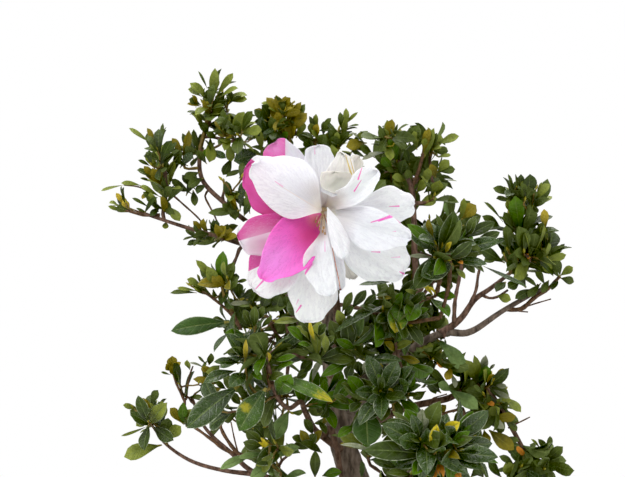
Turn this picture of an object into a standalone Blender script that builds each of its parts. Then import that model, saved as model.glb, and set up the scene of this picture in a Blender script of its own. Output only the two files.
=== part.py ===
"""A small azalea shrub with one large double bloom, growing in a plain round pot.

Frame: metres, +Z up, +X to the right and +Y away from someone who faces the bloom. The origin is the
middle of the pot's flat underside. Sizes and places below are written in millimetres and turned to metres
by MM. Each limb is one tapering solid along a smooth route. Each mass of leaves is one closed, uneven
solid round its own centre, cut back by planes halfway to its neighbours, by the limbs that run into it and
by the bloom.
"""

import math

import bmesh
import bpy
from mathutils import Vector, noise

MM = 0.001
GAP = 0.35 * MM

# Pot and soil
POT_HEIGHT = 62 * MM
POT_RIM_RADIUS = 75 * MM
POT_LIP_DEPTH = 9 * MM
POT_LIP_OVERHANG = 3 * MM
POT_FOOT_RADIUS = 55 * MM
POT_WALL = 6 * MM
POT_FLOOR = 7 * MM
POT_EDGE = 1.5 * MM
POT_SEGMENTS = 36
# How much fuller than straight the pot's side is: below 1 it bulges outwards
POT_FULLNESS = 0.9
WALL_STEPS = 5
DRAIN_HOLES = 3
DRAIN_RADIUS = 5 * MM
DRAIN_CIRCLE = 27 * MM
SOIL_LEVEL = 60 * MM
SOIL_EDGE_DROP = 1.5 * MM
SOIL_FLAT_RADIUS = 30 * MM
SOIL_GAP = 3 * GAP

# Trunk and limbs
ROOT_FLARE = 0.85
ROOT_FLARE_HEIGHT = 13 * MM
ROOT_COUNT = 5
ROOT_TURN = 0.6
ROOT_FALL = 1.6
# The share of the flare that goes all round the trunk, between the roots too
ROOT_SHARE_ROUND = 0.35
TAPER_POWER = 0.75
TRUNK_SIDES = 18
LIMB_SIDES = 6
STEP_ALONG_LIMB = 9 * MM

# name: (radius at the foot, radius at the tip, route), all in mm
LIMBS = {
    "trunk": (9.5, 2.6, [
        (12, 0, 60.4), (11, 0, 78), (5, 4, 108), (-4, 3, 136), (-7, 5, 158), (-8, 14, 180), (-12, 20, 203),
    ]),
    "bough_left": (1.5, 0.7, [
        (-10, 15, 188), (-30, 5, 212), (-52, -2, 221), (-72, -5, 227), (-90, -5, 233),
    ]),
    "bough_top_left": (1.3, 0.9, [
        (-11, 18, 197), (-39, 6, 224), (-53, 0, 236), (-65, 5, 248), (-66, 8, 262), (-62, 10, 275),
    ]),
    "bough_top": (1.8, 0.9, [
        (-12, 20, 201), (-19, 26, 233), (-24, 23, 255), (-29, 17, 268),
    ]),
    "bough_right": (2.9, 0.8, [
        (-6, 4, 150), (16, -8, 166), (39, -10, 180), (53, -8, 181), (69, -5, 191), (87, -4, 201),
    ]),
    "bough_right_rising": (1.7, 0.8, [
        (40, -10, 180), (49, -8, 187), (55, -6, 195), (62, -6, 200), (71, -6, 207),
    ]),
    "bough_right_tall": (1.9, 1, [
        (20, -9, 168), (29, -6, 190), (29, 0, 217), (29, 2, 232), (28, 6, 245), (23, 9, 256),
    ]),
    "bough_low_left": (1.9, 0.7, [
        (0, 4, 126), (-14, -15, 138), (-19, -30, 148), (-21, -38, 153),
        (-26, -46, 151), (-31, -54, 157), (-34, -64, 170),
    ]),
    "bough_low_left_outer": (1.8, 0.6, [
        (5, 4, 106), (-21, -8, 114), (-41, -13, 120), (-51, -12, 128), (-63, -8, 139), (-69, -6, 152),
    ]),
    "bough_low_left_long": (1.1, 0.6, [
        (-39, -12, 119), (-55, -13, 121), (-69, -12, 125), (-80, -10, 132), (-86, -10, 140),
    ]),
    "bough_low_right": (3, 1.2, [
        (6, 3, 102), (13, -20, 116), (25, -50, 124), (34, -70, 134),
    ]),
    "bough_low_right_outer": (2.1, 0.9, [
        (-3, 3, 132), (21, 4, 145), (43, 0, 151), (60, 0, 156), (78, 0, 128),
    ]),
    "bough_front": (2.2, 1.3, [
        (-7, 5, 160), (-5, -18, 180), (-7, -40, 204), (-10, -56, 224), (-11, -69, 232.5),
    ]),
    "bough_back_left": (2.6, 1.2, [
        (-7, 8, 165), (-22, 34, 184), (-30, 58, 200),
    ]),
    "bough_back_right": (2.6, 1.2, [
        (-3, 4, 140), (14, 34, 152), (24, 62, 164),
    ]),
}

# name: (centre in mm, half sizes in mm)
SEEN_MASSES = {
    "top_left": ((-60, 10, 284), (12, 18, 14)),
    "left_shoulder": ((-49, 0, 268), (12, 18, 8)),
    "top_dark": ((-30, 15, 274), (12, 20, 11)),
    "top_middle": ((-8, 22, 267), (13, 20, 11)),
    "top_right": ((19, 10, 263), (10, 20, 13)),
    "top_far_right": ((38, 22, 263), (11, 20, 13)),
    "right_neck": ((38, 5, 240), (8, 18, 9)),
    "left_upper": ((-87, 0, 257), (12, 22, 12)),
    "left_middle": ((-71, 22, 262), (9, 18, 7)),
    "left_tip": ((-98, -5, 237), (11, 18, 6)),
    "left_inner": ((-80, 8, 241), (9, 20, 7)),
    "left_by_bloom": ((-52, -4, 247), (9, 20, 12)),
    "left_under": ((-61, 0, 223), (12, 20, 5)),
    "mid_left": ((-54, -18, 201), (22, 18, 12)),
    "front_left": ((-42, -57, 175), (19, 15, 11)),
    "front_low_left": ((-49, -58, 153), (17, 13, 9)),
    "low_left": ((-71, -5, 158), (12, 24, 11)),
    "low_left_tip": ((-89, -10, 144), (13, 20, 14)),
    "bottom_left": ((-32, -25, 130), (14, 20, 14)),
    "under_bloom": ((-12, -45, 176), (15, 15, 11)),
    "beside_bloom": ((20, -44, 190), (16, 15, 13)),
    "front_middle": ((17, -52, 158), (14, 15, 10)),
    "front_middle_left": ((-9, -38, 153), (12, 13, 11)),
    "bottom_front": ((7, -32, 135), (13, 14, 12)),
    "front_low_right": ((36, -76, 140), (21, 18, 12)),
    "skirt": ((30, -48, 115), (22, 18, 12)),
    "right_middle": ((38, -6, 168), (12, 20, 11)),
    "right_low": ((62, 2, 153), (14, 24, 15)),
    "right_bottom": ((82, 0, 122), (15, 22, 12)),
    "right_front": ((38, -58, 217), (16, 15, 12)),
    "right_top": ((74, -9, 238), (16, 24, 12)),
    "right_outer": ((79, -5, 215), (17, 26, 12)),
}

# The back of the crown: tiers of masses in an arc behind the trunk, and two in the heart of the crown.
# Each tier is (height in mm, radius of the arc, angles from +X in degrees, half size across, half height).
BACK_ARC_MIDDLE = Vector((-4, 0, 0))
BACK_MASS_DEPTH = 1.0
BACK_TIERS = [
    (252, 60, (60, 116), 22, 17),
    (216, 66, (48, 96), 25, 20),
    (178, 64, (62, 118), 25, 20),
    (140, 54, (78, 130), 22, 18),
]
HEART_MASSES = {"heart": ((-9, -6, 230), (27, 30, 26)), "heart_low": ((4, -14, 177), (11, 12, 12))}
# A mass has MASS_POINTS corners, and more for each millimetre of its mean half size.
MASS_POINTS = 20
MASS_POINTS_PER_MM = 2.0
# Lumps on a mass: (height as a share of its reach, how many to a turn)
MASS_LUMPS = [(0.22, 1.7), (0.10, 4)]
MASS_SEED_PER_METRE = 90
# Masses further apart than this many times their half sizes don't wall each other off
NEIGHBOUR_REACH = 1.5

# Bloom
BLOOM_CENTRE = Vector((-11, -88, 233)) * MM
BLOOM_REACH = {"right": 36 * MM, "up": 28 * MM, "left": 35 * MM, "down": 43 * MM}
BLOOM_LOBES = 8
BLOOM_LOBE_DEPTH = 0.09
BLOOM_LOBE_TURN = 1.2
BLOOM_RUFFLE = 1.8 * MM
BLOOM_SIDES = 40
# Rings of the bloom from the middle of its face to the tube at its back: (share of the reach, depth in mm)
BLOOM_RINGS = [
    (0.16, -15),
    (0.36, -19),
    (0.62, -17),
    (0.86, -11),
    (1.0, -3),
    (0.97, 2),
    (0.7, 6),
    (0.38, 11),
    (0.16, 17),
    (0.11, 23),
]

# name: (colour, roughness)
FINISHES = {
    "leaf": ((0.05, 0.11, 0.025, 1), 0.5),
    "bark": ((0.16, 0.11, 0.08, 1), 0.85),
    "petal": ((0.85, 0.82, 0.84, 1), 0.6),
    "stoneware": ((0.10, 0.065, 0.05, 1), 0.7),
    "soil": ((0.07, 0.05, 0.035, 1), 0.95),
}


def clear_scene():
    for obj in list(bpy.data.objects):
        bpy.data.objects.remove(obj)


def finish(name):
    """The material of one finish, made once."""
    if name in bpy.data.materials:
        return bpy.data.materials[name]
    colour, roughness = FINISHES[name]
    material = bpy.data.materials.new(name)
    material.use_nodes = True
    shader = material.node_tree.nodes["Principled BSDF"]
    shader.inputs["Base Color"].default_value = colour
    shader.inputs["Roughness"].default_value = roughness
    material.diffuse_color = colour
    return material


def object_from(name, points, faces, finish_name, location=Vector()):
    """A mesh object whose points are given about its own location."""
    mesh = bpy.data.meshes.new(name)
    mesh.from_pydata([tuple(p) for p in points], [], faces)
    mesh.validate()
    obj = bpy.data.objects.new(name, mesh)
    obj.location = location
    mesh.materials.append(finish(finish_name))
    bpy.context.scene.collection.objects.link(obj)
    face_outwards(obj)
    return obj


def face_outwards(obj):
    shape = bmesh.new()
    shape.from_mesh(obj.data)
    bmesh.ops.recalc_face_normals(shape, faces=shape.faces)
    if shape.calc_volume(signed=True) < 0:
        bmesh.ops.reverse_faces(shape, faces=shape.faces)
    shape.to_mesh(obj.data)
    shape.free()


def ring_faces(rings, sides):
    """Quads between rings of the same number of points, and a fan of one flat face at each end."""
    faces = [list(range(sides))[::-1]]
    for r in range(rings - 1):
        for s in range(sides):
            t = (s + 1) % sides
            faces.append([r * sides + s, r * sides + t, (r + 1) * sides + t, (r + 1) * sides + s])
    faces.append([(rings - 1) * sides + s for s in range(sides)])
    return faces


# ---------------------------------------------------------------- pot and soil


def turned(name, profile, finish_name):
    """A solid turned about +Z from a profile of (radius, height), with a flat cap at each end of it."""
    points = []
    for radius, height in profile:
        for s in range(POT_SEGMENTS):
            turn = 2 * math.pi * s / POT_SEGMENTS
            points.append(Vector((radius * math.cos(turn), radius * math.sin(turn), height)))
    obj = object_from(name, points, ring_faces(len(profile), POT_SEGMENTS), finish_name)
    obj.data.shade_smooth()
    obj.data.set_sharp_from_angle(angle=math.radians(35))
    return obj


def wall_radius(height):
    """The pot's outer radius under its lip: a shallow bowl that swells from the foot."""
    share = height / (POT_HEIGHT - POT_LIP_DEPTH)
    under_lip = POT_RIM_RADIUS - POT_LIP_OVERHANG
    return POT_FOOT_RADIUS + (under_lip - POT_FOOT_RADIUS) * math.sin(share * math.pi / 2) ** POT_FULLNESS


def make_pot():
    lip_foot = POT_HEIGHT - POT_LIP_DEPTH
    levels = [lip_foot * i / WALL_STEPS for i in range(WALL_STEPS + 1)]
    outside = [(wall_radius(level), level) for level in levels]
    lip = [
        (POT_RIM_RADIUS, lip_foot + POT_EDGE),
        (POT_RIM_RADIUS, POT_HEIGHT - POT_EDGE),
        (POT_RIM_RADIUS - POT_EDGE, POT_HEIGHT),
        (POT_RIM_RADIUS - POT_WALL, POT_HEIGHT),
    ]
    inside = [(r - POT_WALL, h) for r, h in outside[:0:-1] if h > POT_FLOOR]
    floor_corner = [(wall_radius(POT_FLOOR) - POT_WALL, POT_FLOOR)]
    pot = turned("pot", outside + lip + inside + floor_corner, "stoneware")
    for i in range(DRAIN_HOLES):
        turn = 2 * math.pi * (i + 0.5) / DRAIN_HOLES
        place = Vector((math.cos(turn), math.sin(turn), 0)) * DRAIN_CIRCLE
        hole = drain_cutter(f"drain_cutter_{i}", place)
        cut = pot.modifiers.new(f"drain_{i}", "BOOLEAN")
        cut.solver = "EXACT"
        cut.object = hole
    return pot


def drain_cutter(name, place):
    shape = bmesh.new()
    bmesh.ops.create_cone(
        shape, cap_ends=True, segments=16, radius1=DRAIN_RADIUS, radius2=DRAIN_RADIUS, depth=4 * POT_FLOOR
    )
    mesh = bpy.data.meshes.new(name)
    shape.to_mesh(mesh)
    shape.free()
    cutter = bpy.data.objects.new(name, mesh)
    cutter.location = place
    cutter.hide_render = True
    cutter.display_type = "WIRE"
    bpy.context.scene.collection.objects.link(cutter)
    return cutter


def make_soil():
    """The ball of soil fills the pot and is flat where the trunk stands on it."""
    steps = 3
    low, high = POT_FLOOR + GAP, SOIL_LEVEL - SOIL_EDGE_DROP
    side = []
    for i in range(steps + 1):
        height = low + (high - low) * i / steps
        side.append((wall_radius(min(height, POT_HEIGHT - POT_LIP_DEPTH)) - POT_WALL - SOIL_GAP, height))
    return turned("soil", side + [(SOIL_FLAT_RADIUS, SOIL_LEVEL)], "soil")


# ---------------------------------------------------------------- limbs


def smooth_route(places):
    """Points every STEP_ALONG_LIMB along a Catmull-Rom curve through the places."""
    ends = [places[0] * 2 - places[1]] + places + [places[-1] * 2 - places[-2]]
    route = []
    for before, a, b, after in zip(ends, ends[1:], ends[2:], ends[3:]):
        steps = max(2, round((b - a).length / STEP_ALONG_LIMB))
        for i in range(steps):
            t = i / steps
            route.append(
                0.5
                * (
                    2 * a
                    + (b - before) * t
                    + (2 * before - 5 * a + 4 * b - after) * t**2
                    + (3 * a - before - 3 * b + after) * t**3
                )
            )
    return route + [places[-1]]


def carried_frames(route, first_across):
    """For each point of a route, two directions across it, turned as little as possible between rings."""
    across = first_across
    frames = []
    for i, _ in enumerate(route):
        along = (route[min(i + 1, len(route) - 1)] - route[max(i - 1, 0)]).normalized()
        across = (across - along * across.dot(along)).normalized()
        frames.append((across, along.cross(across)))
    return frames


def root_swell(height, turn):
    """How much wider than its plain taper the trunk is at this height and side, over its roots."""
    near_ground = max(0.0, 1 - height / ROOT_FLARE_HEIGHT) ** ROOT_FALL
    root = 0.5 + 0.5 * math.cos(ROOT_COUNT * turn + ROOT_TURN)
    return 1 + ROOT_FLARE * near_ground * (ROOT_SHARE_ROUND + (1 - ROOT_SHARE_ROUND) * root)


def limb(name, grow=0.0):
    """One limb of LIMBS, or with grow the cutter that keeps its neighbours that far from it."""
    foot, tip, places = LIMBS[name]
    route = smooth_route([Vector(p) * MM for p in places])
    is_trunk = name == "trunk"
    sides = TRUNK_SIDES if is_trunk else LIMB_SIDES
    frames = carried_frames(route, Vector((1, 0, 0)) if is_trunk else Vector((0, 0, 1)))
    if is_trunk:
        frames[0] = (Vector((1, 0, 0)), Vector((0, 1, 0)))
    points = []
    for i, (place, (across, over)) in enumerate(zip(route, frames)):
        share = i / (len(route) - 1)
        radius = (foot + (tip - foot) * share**TAPER_POWER) * MM + grow
        for s in range(sides):
            turn = 2 * math.pi * s / sides
            swell = root_swell(place.z - route[0].z, turn) if is_trunk else 1
            points.append(place + (across * math.cos(turn) + over * math.sin(turn)) * radius * swell)
    middle = route[0]
    obj = object_from(
        name if not grow else f"{name}_cutter",
        [p - middle for p in points],
        ring_faces(len(route), sides),
        "bark",
        middle,
    )
    obj.data.shade_smooth()
    obj.data.set_sharp_from_angle(angle=math.radians(50))
    return obj


def cut_by(obj, cutters):
    """Takes the cutters out of a solid, applies that, and keeps the largest piece left."""
    for cutter in cutters:
        modifier = obj.modifiers.new(cutter.name, "BOOLEAN")
        modifier.solver = "EXACT"
        modifier.object = cutter
    graph = bpy.context.evaluated_depsgraph_get()
    mesh = bpy.data.meshes.new_from_object(obj.evaluated_get(graph), depsgraph=graph)
    obj.modifiers.clear()
    obj.data = mesh
    keep_largest(obj)


def islands_of(shape):
    """The separate bodies of a mesh, each as a list of faces."""
    left, islands = set(shape.faces), []
    while left:
        todo, island = [left.pop()], []
        while todo:
            face = todo.pop()
            island.append(face)
            for edge in face.edges:
                for other in edge.link_faces:
                    if other in left:
                        left.discard(other)
                        todo.append(other)
        islands.append(island)
    return islands


def keep_largest(obj):
    shape = bmesh.new()
    shape.from_mesh(obj.data)
    bmesh.ops.remove_doubles(shape, verts=shape.verts, dist=0.01 * MM)
    bmesh.ops.dissolve_degenerate(shape, edges=shape.edges, dist=0.01 * MM)
    islands = sorted(islands_of(shape), key=lambda faces: -sum(f.calc_area() for f in faces))
    for island in islands[1:]:
        bmesh.ops.delete(shape, geom=island, context="FACES")
    bmesh.ops.triangulate(shape, faces=shape.faces)
    shape.to_mesh(obj.data)
    shape.free()


def near(a, b):
    """Whether the boxes of two objects meet."""
    boxes = []
    for obj in (a, b):
        corners = [obj.matrix_world @ Vector(c) for c in obj.bound_box]
        boxes.append([(min(c[k] for c in corners), max(c[k] for c in corners)) for k in range(3)])
    return all(p[0] < q[1] and q[0] < p[1] for p, q in zip(*boxes))


def make_limbs():
    """The trunk and the boughs, each cut where it leaves the limbs before it. Returns their cutters."""
    cutters = []
    for name in LIMBS:
        obj = limb(name)
        cutter = limb(name, grow=GAP)
        cutter.hide_render = True
        cutter.display_type = "WIRE"
        bpy.context.view_layer.update()
        touching = [c for c in cutters if near(obj, c)]
        if touching:
            cut_by(obj, touching)
        cutters.append(cutter)
    return cutters


# ---------------------------------------------------------------- bloom


def bloom_reach(turn):
    """How far the petals reach at an angle from +X, with a lobe for each outer petal."""
    across = BLOOM_REACH["right"] if math.cos(turn) > 0 else BLOOM_REACH["left"]
    upward = BLOOM_REACH["up"] if math.sin(turn) > 0 else BLOOM_REACH["down"]
    plain = 1 / math.hypot(math.cos(turn) / across, math.sin(turn) / upward)
    return plain * (1 - BLOOM_LOBE_DEPTH * (0.5 + 0.5 * math.cos(BLOOM_LOBES * turn + BLOOM_LOBE_TURN)))


def make_bloom(grow=0.0):
    """The bloom as one solid: a ruffled bowl of petals that narrows behind to its tube."""
    points = []
    for share, depth in BLOOM_RINGS:
        for s in range(BLOOM_SIDES):
            turn = 2 * math.pi * s / BLOOM_SIDES
            reach = bloom_reach(turn) * share + grow
            ruffle = BLOOM_RUFFLE * share**2 * math.cos(BLOOM_LOBES * turn + BLOOM_LOBE_TURN)
            away = depth * MM + ruffle + math.copysign(grow, depth)
            points.append(Vector((reach * math.cos(turn), away, reach * math.sin(turn))))
    faces = ring_faces(len(BLOOM_RINGS), BLOOM_SIDES)
    return object_from("bloom" if not grow else "bloom_cutter", points, faces, "petal", BLOOM_CENTRE)


# ---------------------------------------------------------------- foliage


def all_masses():
    """name: (centre, half sizes) in metres, for the whole crown."""
    masses = {}
    for name, (centre, half) in {**SEEN_MASSES, **HEART_MASSES}.items():
        masses[f"foliage_{name}"] = (Vector(centre) * MM, Vector(half) * MM)
    for tier, (height, arc, angles, across, tall) in enumerate(BACK_TIERS):
        for place, angle in enumerate(angles):
            turn = math.radians(angle)
            centre = BACK_ARC_MIDDLE + Vector((arc * math.cos(turn), arc * math.sin(turn), height))
            half = Vector((across, across * BACK_MASS_DEPTH, tall))
            masses[f"foliage_back_{tier + 1}_{place + 1}"] = (centre * MM, half * MM)
    return masses


def surface_distance(half, way):
    """From an ellipsoid's middle to its surface, along a unit direction."""
    return 1 / math.sqrt(sum((w / h) ** 2 for w, h in zip(way, half)))


def walls_round(name, masses):
    """The planes halfway to the neighbours of a mass: (direction, distance from its centre)."""
    centre, half = masses[name]
    walls = []
    for other, (there, size) in masses.items():
        apart = there - centre
        if other == name or apart.length > NEIGHBOUR_REACH * (max(half) + max(size)):
            continue
        way = apart.normalized()
        mine, its = surface_distance(half, way), surface_distance(size, way)
        walls.append((way, apart.length * mine / (mine + its) - GAP))
    return walls


def spread_directions(count):
    """Directions spread evenly over a sphere, on a spiral from pole to pole."""
    golden = math.pi * (3 - math.sqrt(5))
    ways = []
    for i in range(count):
        level = 1 - (2 * i + 1) / count
        across = math.sqrt(1 - level * level)
        ways.append(Vector((across * math.cos(golden * i), across * math.sin(golden * i), level)))
    return ways


def make_mass(name, masses):
    centre, half = masses[name]
    walls = walls_round(name, masses)
    shape = bmesh.new()
    count = MASS_POINTS + round(MASS_POINTS_PER_MM * sum(half) / (3 * MM))
    for way in spread_directions(count):
        shape.verts.new(way)
    bmesh.ops.convex_hull(shape, input=shape.verts)
    seed = Vector(centre) * MASS_SEED_PER_METRE
    for vert in shape.verts:
        way = vert.co.normalized()
        lumps = 1 + sum(height * noise.noise(way * turns + seed) for height, turns in MASS_LUMPS)
        reach = surface_distance(half, way) * lumps
        for wall_way, distance in walls:
            facing = way.dot(wall_way)
            if facing > 1e-3:
                reach = min(reach, distance / facing)
        vert.co = way * reach
    mesh = bpy.data.meshes.new(name)
    shape.to_mesh(mesh)
    shape.free()
    mesh.materials.append(finish("leaf"))
    obj = bpy.data.objects.new(name, mesh)
    obj.location = centre
    bpy.context.scene.collection.objects.link(obj)
    face_outwards(obj)
    return obj


def make_foliage(cutters):
    masses = all_masses()
    for name in masses:
        obj = make_mass(name, masses)
        bpy.context.view_layer.update()
        touching = [c for c in cutters if near(obj, c)]
        if touching:
            cut_by(obj, touching)


def main():
    clear_scene()
    make_pot()
    make_soil()
    cutters = make_limbs()
    bloom = make_bloom()
    bpy.context.view_layer.update()
    cut_by(bloom, [c for c in cutters if near(bloom, c)])
    cutters.append(make_bloom(grow=GAP))
    make_foliage(cutters)
    for cutter in cutters:
        bpy.data.objects.remove(cutter)


main()
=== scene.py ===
"""The looks of a small azalea shrub with one large double bloom, in a plain round pot.

Places are in the frame's own axes: +X to the right, +Y away from the viewer of the bloom, +Z up. Sizes are
written in millimetres and turned to metres by MM. The wood is the CAD limbs with the relief of their bark.
Twigs grow on from them to tips spread through the space of each foliage solid, and leaves stand in a spiral
down each tip. The leaves that stand out in the main view each have a place of their own.
"""

import math
import random

import bmesh
import bpy
import numpy as np
from mathutils import Matrix, Vector, noise


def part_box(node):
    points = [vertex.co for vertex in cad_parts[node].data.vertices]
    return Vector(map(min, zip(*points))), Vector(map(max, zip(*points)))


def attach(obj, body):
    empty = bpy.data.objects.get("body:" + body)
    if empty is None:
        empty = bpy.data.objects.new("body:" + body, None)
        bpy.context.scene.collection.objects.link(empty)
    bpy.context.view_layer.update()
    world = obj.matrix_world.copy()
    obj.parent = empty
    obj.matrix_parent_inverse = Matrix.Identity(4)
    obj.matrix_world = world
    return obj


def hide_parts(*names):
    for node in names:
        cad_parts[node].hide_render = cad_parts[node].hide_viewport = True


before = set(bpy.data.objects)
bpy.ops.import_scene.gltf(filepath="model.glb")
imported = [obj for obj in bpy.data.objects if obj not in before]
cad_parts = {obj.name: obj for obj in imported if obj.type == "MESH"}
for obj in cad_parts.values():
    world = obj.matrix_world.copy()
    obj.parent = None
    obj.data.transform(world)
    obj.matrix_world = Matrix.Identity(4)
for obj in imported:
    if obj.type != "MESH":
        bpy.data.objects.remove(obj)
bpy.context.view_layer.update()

MM = 0.001
UP = Vector((0, 0, 1))
TO_VIEWER = Vector((0, -1, 0))
GOLDEN_TURN = math.pi * (3 - math.sqrt(5))

# The camera's place, and its frame and focal length in pixels
CAMERA_PLACE = Vector((-16, -850, 222)) * MM
FRAME_WIDTH_PX = 625
FRAME_HEIGHT_PX = 477
FOCAL_PX = 1921

# ---------------------------------------------------------------- helpers


def spot(px, py, depth_mm):
    """The point seen at this pixel of the camera's frame whose y is depth_mm."""
    reach = depth_mm * MM - CAMERA_PLACE.y
    across = (px - FRAME_WIDTH_PX / 2) * reach / FOCAL_PX
    down = (py - FRAME_HEIGHT_PX / 2) * reach / FOCAL_PX
    return Vector((CAMERA_PLACE.x + across, depth_mm * MM, CAMERA_PLACE.z - down))


def seen_at(point):
    """The pixel of the camera's frame at which a point is seen."""
    reach = point.y - CAMERA_PLACE.y
    px = FRAME_WIDTH_PX / 2 + FOCAL_PX * (point.x - CAMERA_PLACE.x) / reach
    py = FRAME_HEIGHT_PX / 2 - FOCAL_PX * (point.z - CAMERA_PLACE.z) / reach
    return px, py


def in_metres(places_mm):
    return [Vector(place) * MM for place in places_mm]


def mix(a, b, share):
    return a + (b - a) * share


def stray(rng, spread):
    """A random vector with this spread along each axis."""
    return Vector([rng.gauss(0, spread) for _ in range(3)])


def any_across(way):
    """A unit direction at right angles to a way."""
    other = UP if abs(way.z) < 0.9 else Vector((1, 0, 0))
    return way.cross(other).normalized()


def turned_from(axis, lean, turn):
    """The direction that leans from an axis by an angle, to the side that turn names."""
    across = any_across(axis)
    over = axis.cross(across)
    return axis * math.cos(lean) + (across * math.cos(turn) + over * math.sin(turn)) * math.sin(lean)


def round_turns(count, start=0.0):
    """The angles of points spread evenly round a circle, the first of them this share of a step on."""
    return [2 * math.pi * (i + start) / count for i in range(count)]


def new_object(name, data):
    """A new object that is in the scene."""
    made = bpy.data.objects.new(name, data)
    bpy.context.scene.collection.objects.link(made)
    return made


def place_piece(name, mesh, nodes=()):
    """A mesh as a piece of the plant that rides on the root and stands for some CAD nodes."""
    piece = new_object(name, mesh)
    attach(piece, "root")
    if nodes:
        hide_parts(*nodes)
    return piece


class Patchwork:
    """Quads gathered from many small shapes into one mesh."""

    def __init__(self):
        self.points, self.quads, self.slots, self.uvs = [], [], [], []
        self.count = 0

    def add(self, points, quads, slots=0, uvs=None):
        """Slots is one slot for all of the quads, or one for each."""
        self.points.append(np.array(points))
        self.quads.append(quads + self.count)
        self.slots.append(np.full(len(quads), slots))
        self.uvs.append(np.zeros((len(quads), 4, 2)) if uvs is None else uvs)
        self.count += len(points)

    def mesh(self, name, finishes):
        points = np.concatenate(self.points)
        quads = np.concatenate(self.quads)
        mesh = bpy.data.meshes.new(name)
        mesh.vertices.add(len(points))
        mesh.vertices.foreach_set("co", points.ravel())
        mesh.loops.add(quads.size)
        mesh.loops.foreach_set("vertex_index", quads.ravel().astype(np.int32))
        mesh.polygons.add(len(quads))
        mesh.polygons.foreach_set("loop_start", np.arange(0, quads.size, 4, dtype=np.int32))
        for finish in finishes:
            mesh.materials.append(finish)
        mesh.polygons.foreach_set("material_index", np.concatenate(self.slots).astype(np.int32))
        layer = mesh.uv_layers.new(name="UVMap")
        layer.data.foreach_set("uv", np.concatenate(self.uvs).ravel())
        mesh.update(calc_edges=True)
        mesh.shade_smooth()
        return mesh

    def place(self, name, finishes, slot, nodes=()):
        return place_piece(name, self.mesh(name, finishes), nodes)


def grid_quads(rows, columns, closed=False):
    """The quads between the points of a grid given row by row; closed joins the last column to the first."""
    last = columns if closed else columns - 1
    row, column = np.meshgrid(np.arange(rows - 1), np.arange(last), indexing="ij")
    here, there = row * columns + column, row * columns + (column + 1) % columns
    return np.stack([here, there, there + columns, here + columns], axis=-1).reshape(-1, 4)


def smooth_route(places, step):
    """Points every step along a Catmull-Rom curve through the places."""
    ends = [places[0] * 2 - places[1]] + places + [places[-1] * 2 - places[-2]]
    route = []
    for before, a, b, after in zip(ends, ends[1:], ends[2:], ends[3:]):
        count = max(2, round((b - a).length / step))
        for i in range(count):
            t = i / count
            bend = (2 * before - 5 * a + 4 * b - after) * t**2 + (3 * a - before - 3 * b + after) * t**3
            route.append(0.5 * (2 * a + (b - before) * t + bend))
    return route + [places[-1]]


def way_at(route, i):
    """The direction of a route at one of its points."""
    return (route[min(i + 1, len(route) - 1)] - route[max(i - 1, 0)]).normalized()


def frames_along(route, across):
    """Two directions across each point of a route, turned as little as possible from one to the next."""
    frames = []
    for i in range(len(route)):
        along = way_at(route, i)
        across = (across - along * across.dot(along)).normalized()
        frames.append((across, along.cross(across)))
    return frames


def add_tube(patch, route, radii, slots, sides, drawn_in=False):
    """A round tube along a route, with a radius at each of its points. Ends that are drawn in close it."""
    frames = frames_along(route, any_across((route[1] - route[0]).normalized()))
    if drawn_in:
        route = [route[0], *route, route[-1]]
        frames = [frames[0], *frames, frames[-1]]
        radii = [0, *radii, 0]
    points = [
        place + (across * math.cos(turn) + over * math.sin(turn)) * radius
        for place, (across, over), radius in zip(route, frames, radii)
        for turn in round_turns(sides)
    ]
    quads = grid_quads(len(route), sides, closed=True)
    patch.add(points, quads, slots)


# ---------------------------------------------------------------- materials

# How a Mix node mixes colours: the sockets of its two colours, then its mixed colour and its data type
LOW, HIGH = 6, 7
COLOURS = {"out": 2, "data_type": "RGBA"}


def linear(hex_colour, alpha=1.0):
    """An sRGB hex colour as linear RGBA."""
    parts = [int(hex_colour[i : i + 2], 16) / 255 for i in (1, 3, 5)]
    return [p / 12.92 if p <= 0.04045 else ((p + 0.055) / 1.055) ** 2.4 for p in parts] + [alpha]


def add(tree, kind, inputs=None, out=0, **settings):
    """Adds a node and returns one of its outputs. Settings are the node's own properties; inputs gives each
    socket a value or what feeds it."""
    made = tree.nodes.new(f"ShaderNode{kind}")
    for name, value in settings.items():
        setattr(made, name, value)
    for socket, value in (inputs or {}).items():
        if isinstance(value, bpy.types.NodeSocket):
            tree.links.new(value, made.inputs[socket])
        else:
            made.inputs[socket].default_value = value
    return made.outputs[out]


def finish_of(name, **sockets):
    """A Principled material with these constants on its sockets, and its node tree and shader."""
    material = bpy.data.materials.new(name)
    material.use_nodes = True
    tree = material.node_tree
    shader = tree.nodes["Principled BSDF"]
    for socket, value in sockets.items():
        shader.inputs[socket.replace("_", " ")].default_value = value
    return material, tree, shader


def per_mm(size_mm):
    """The noise scale that gives features of this size when its coordinates are in metres."""
    return 1000 / size_mm


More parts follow.
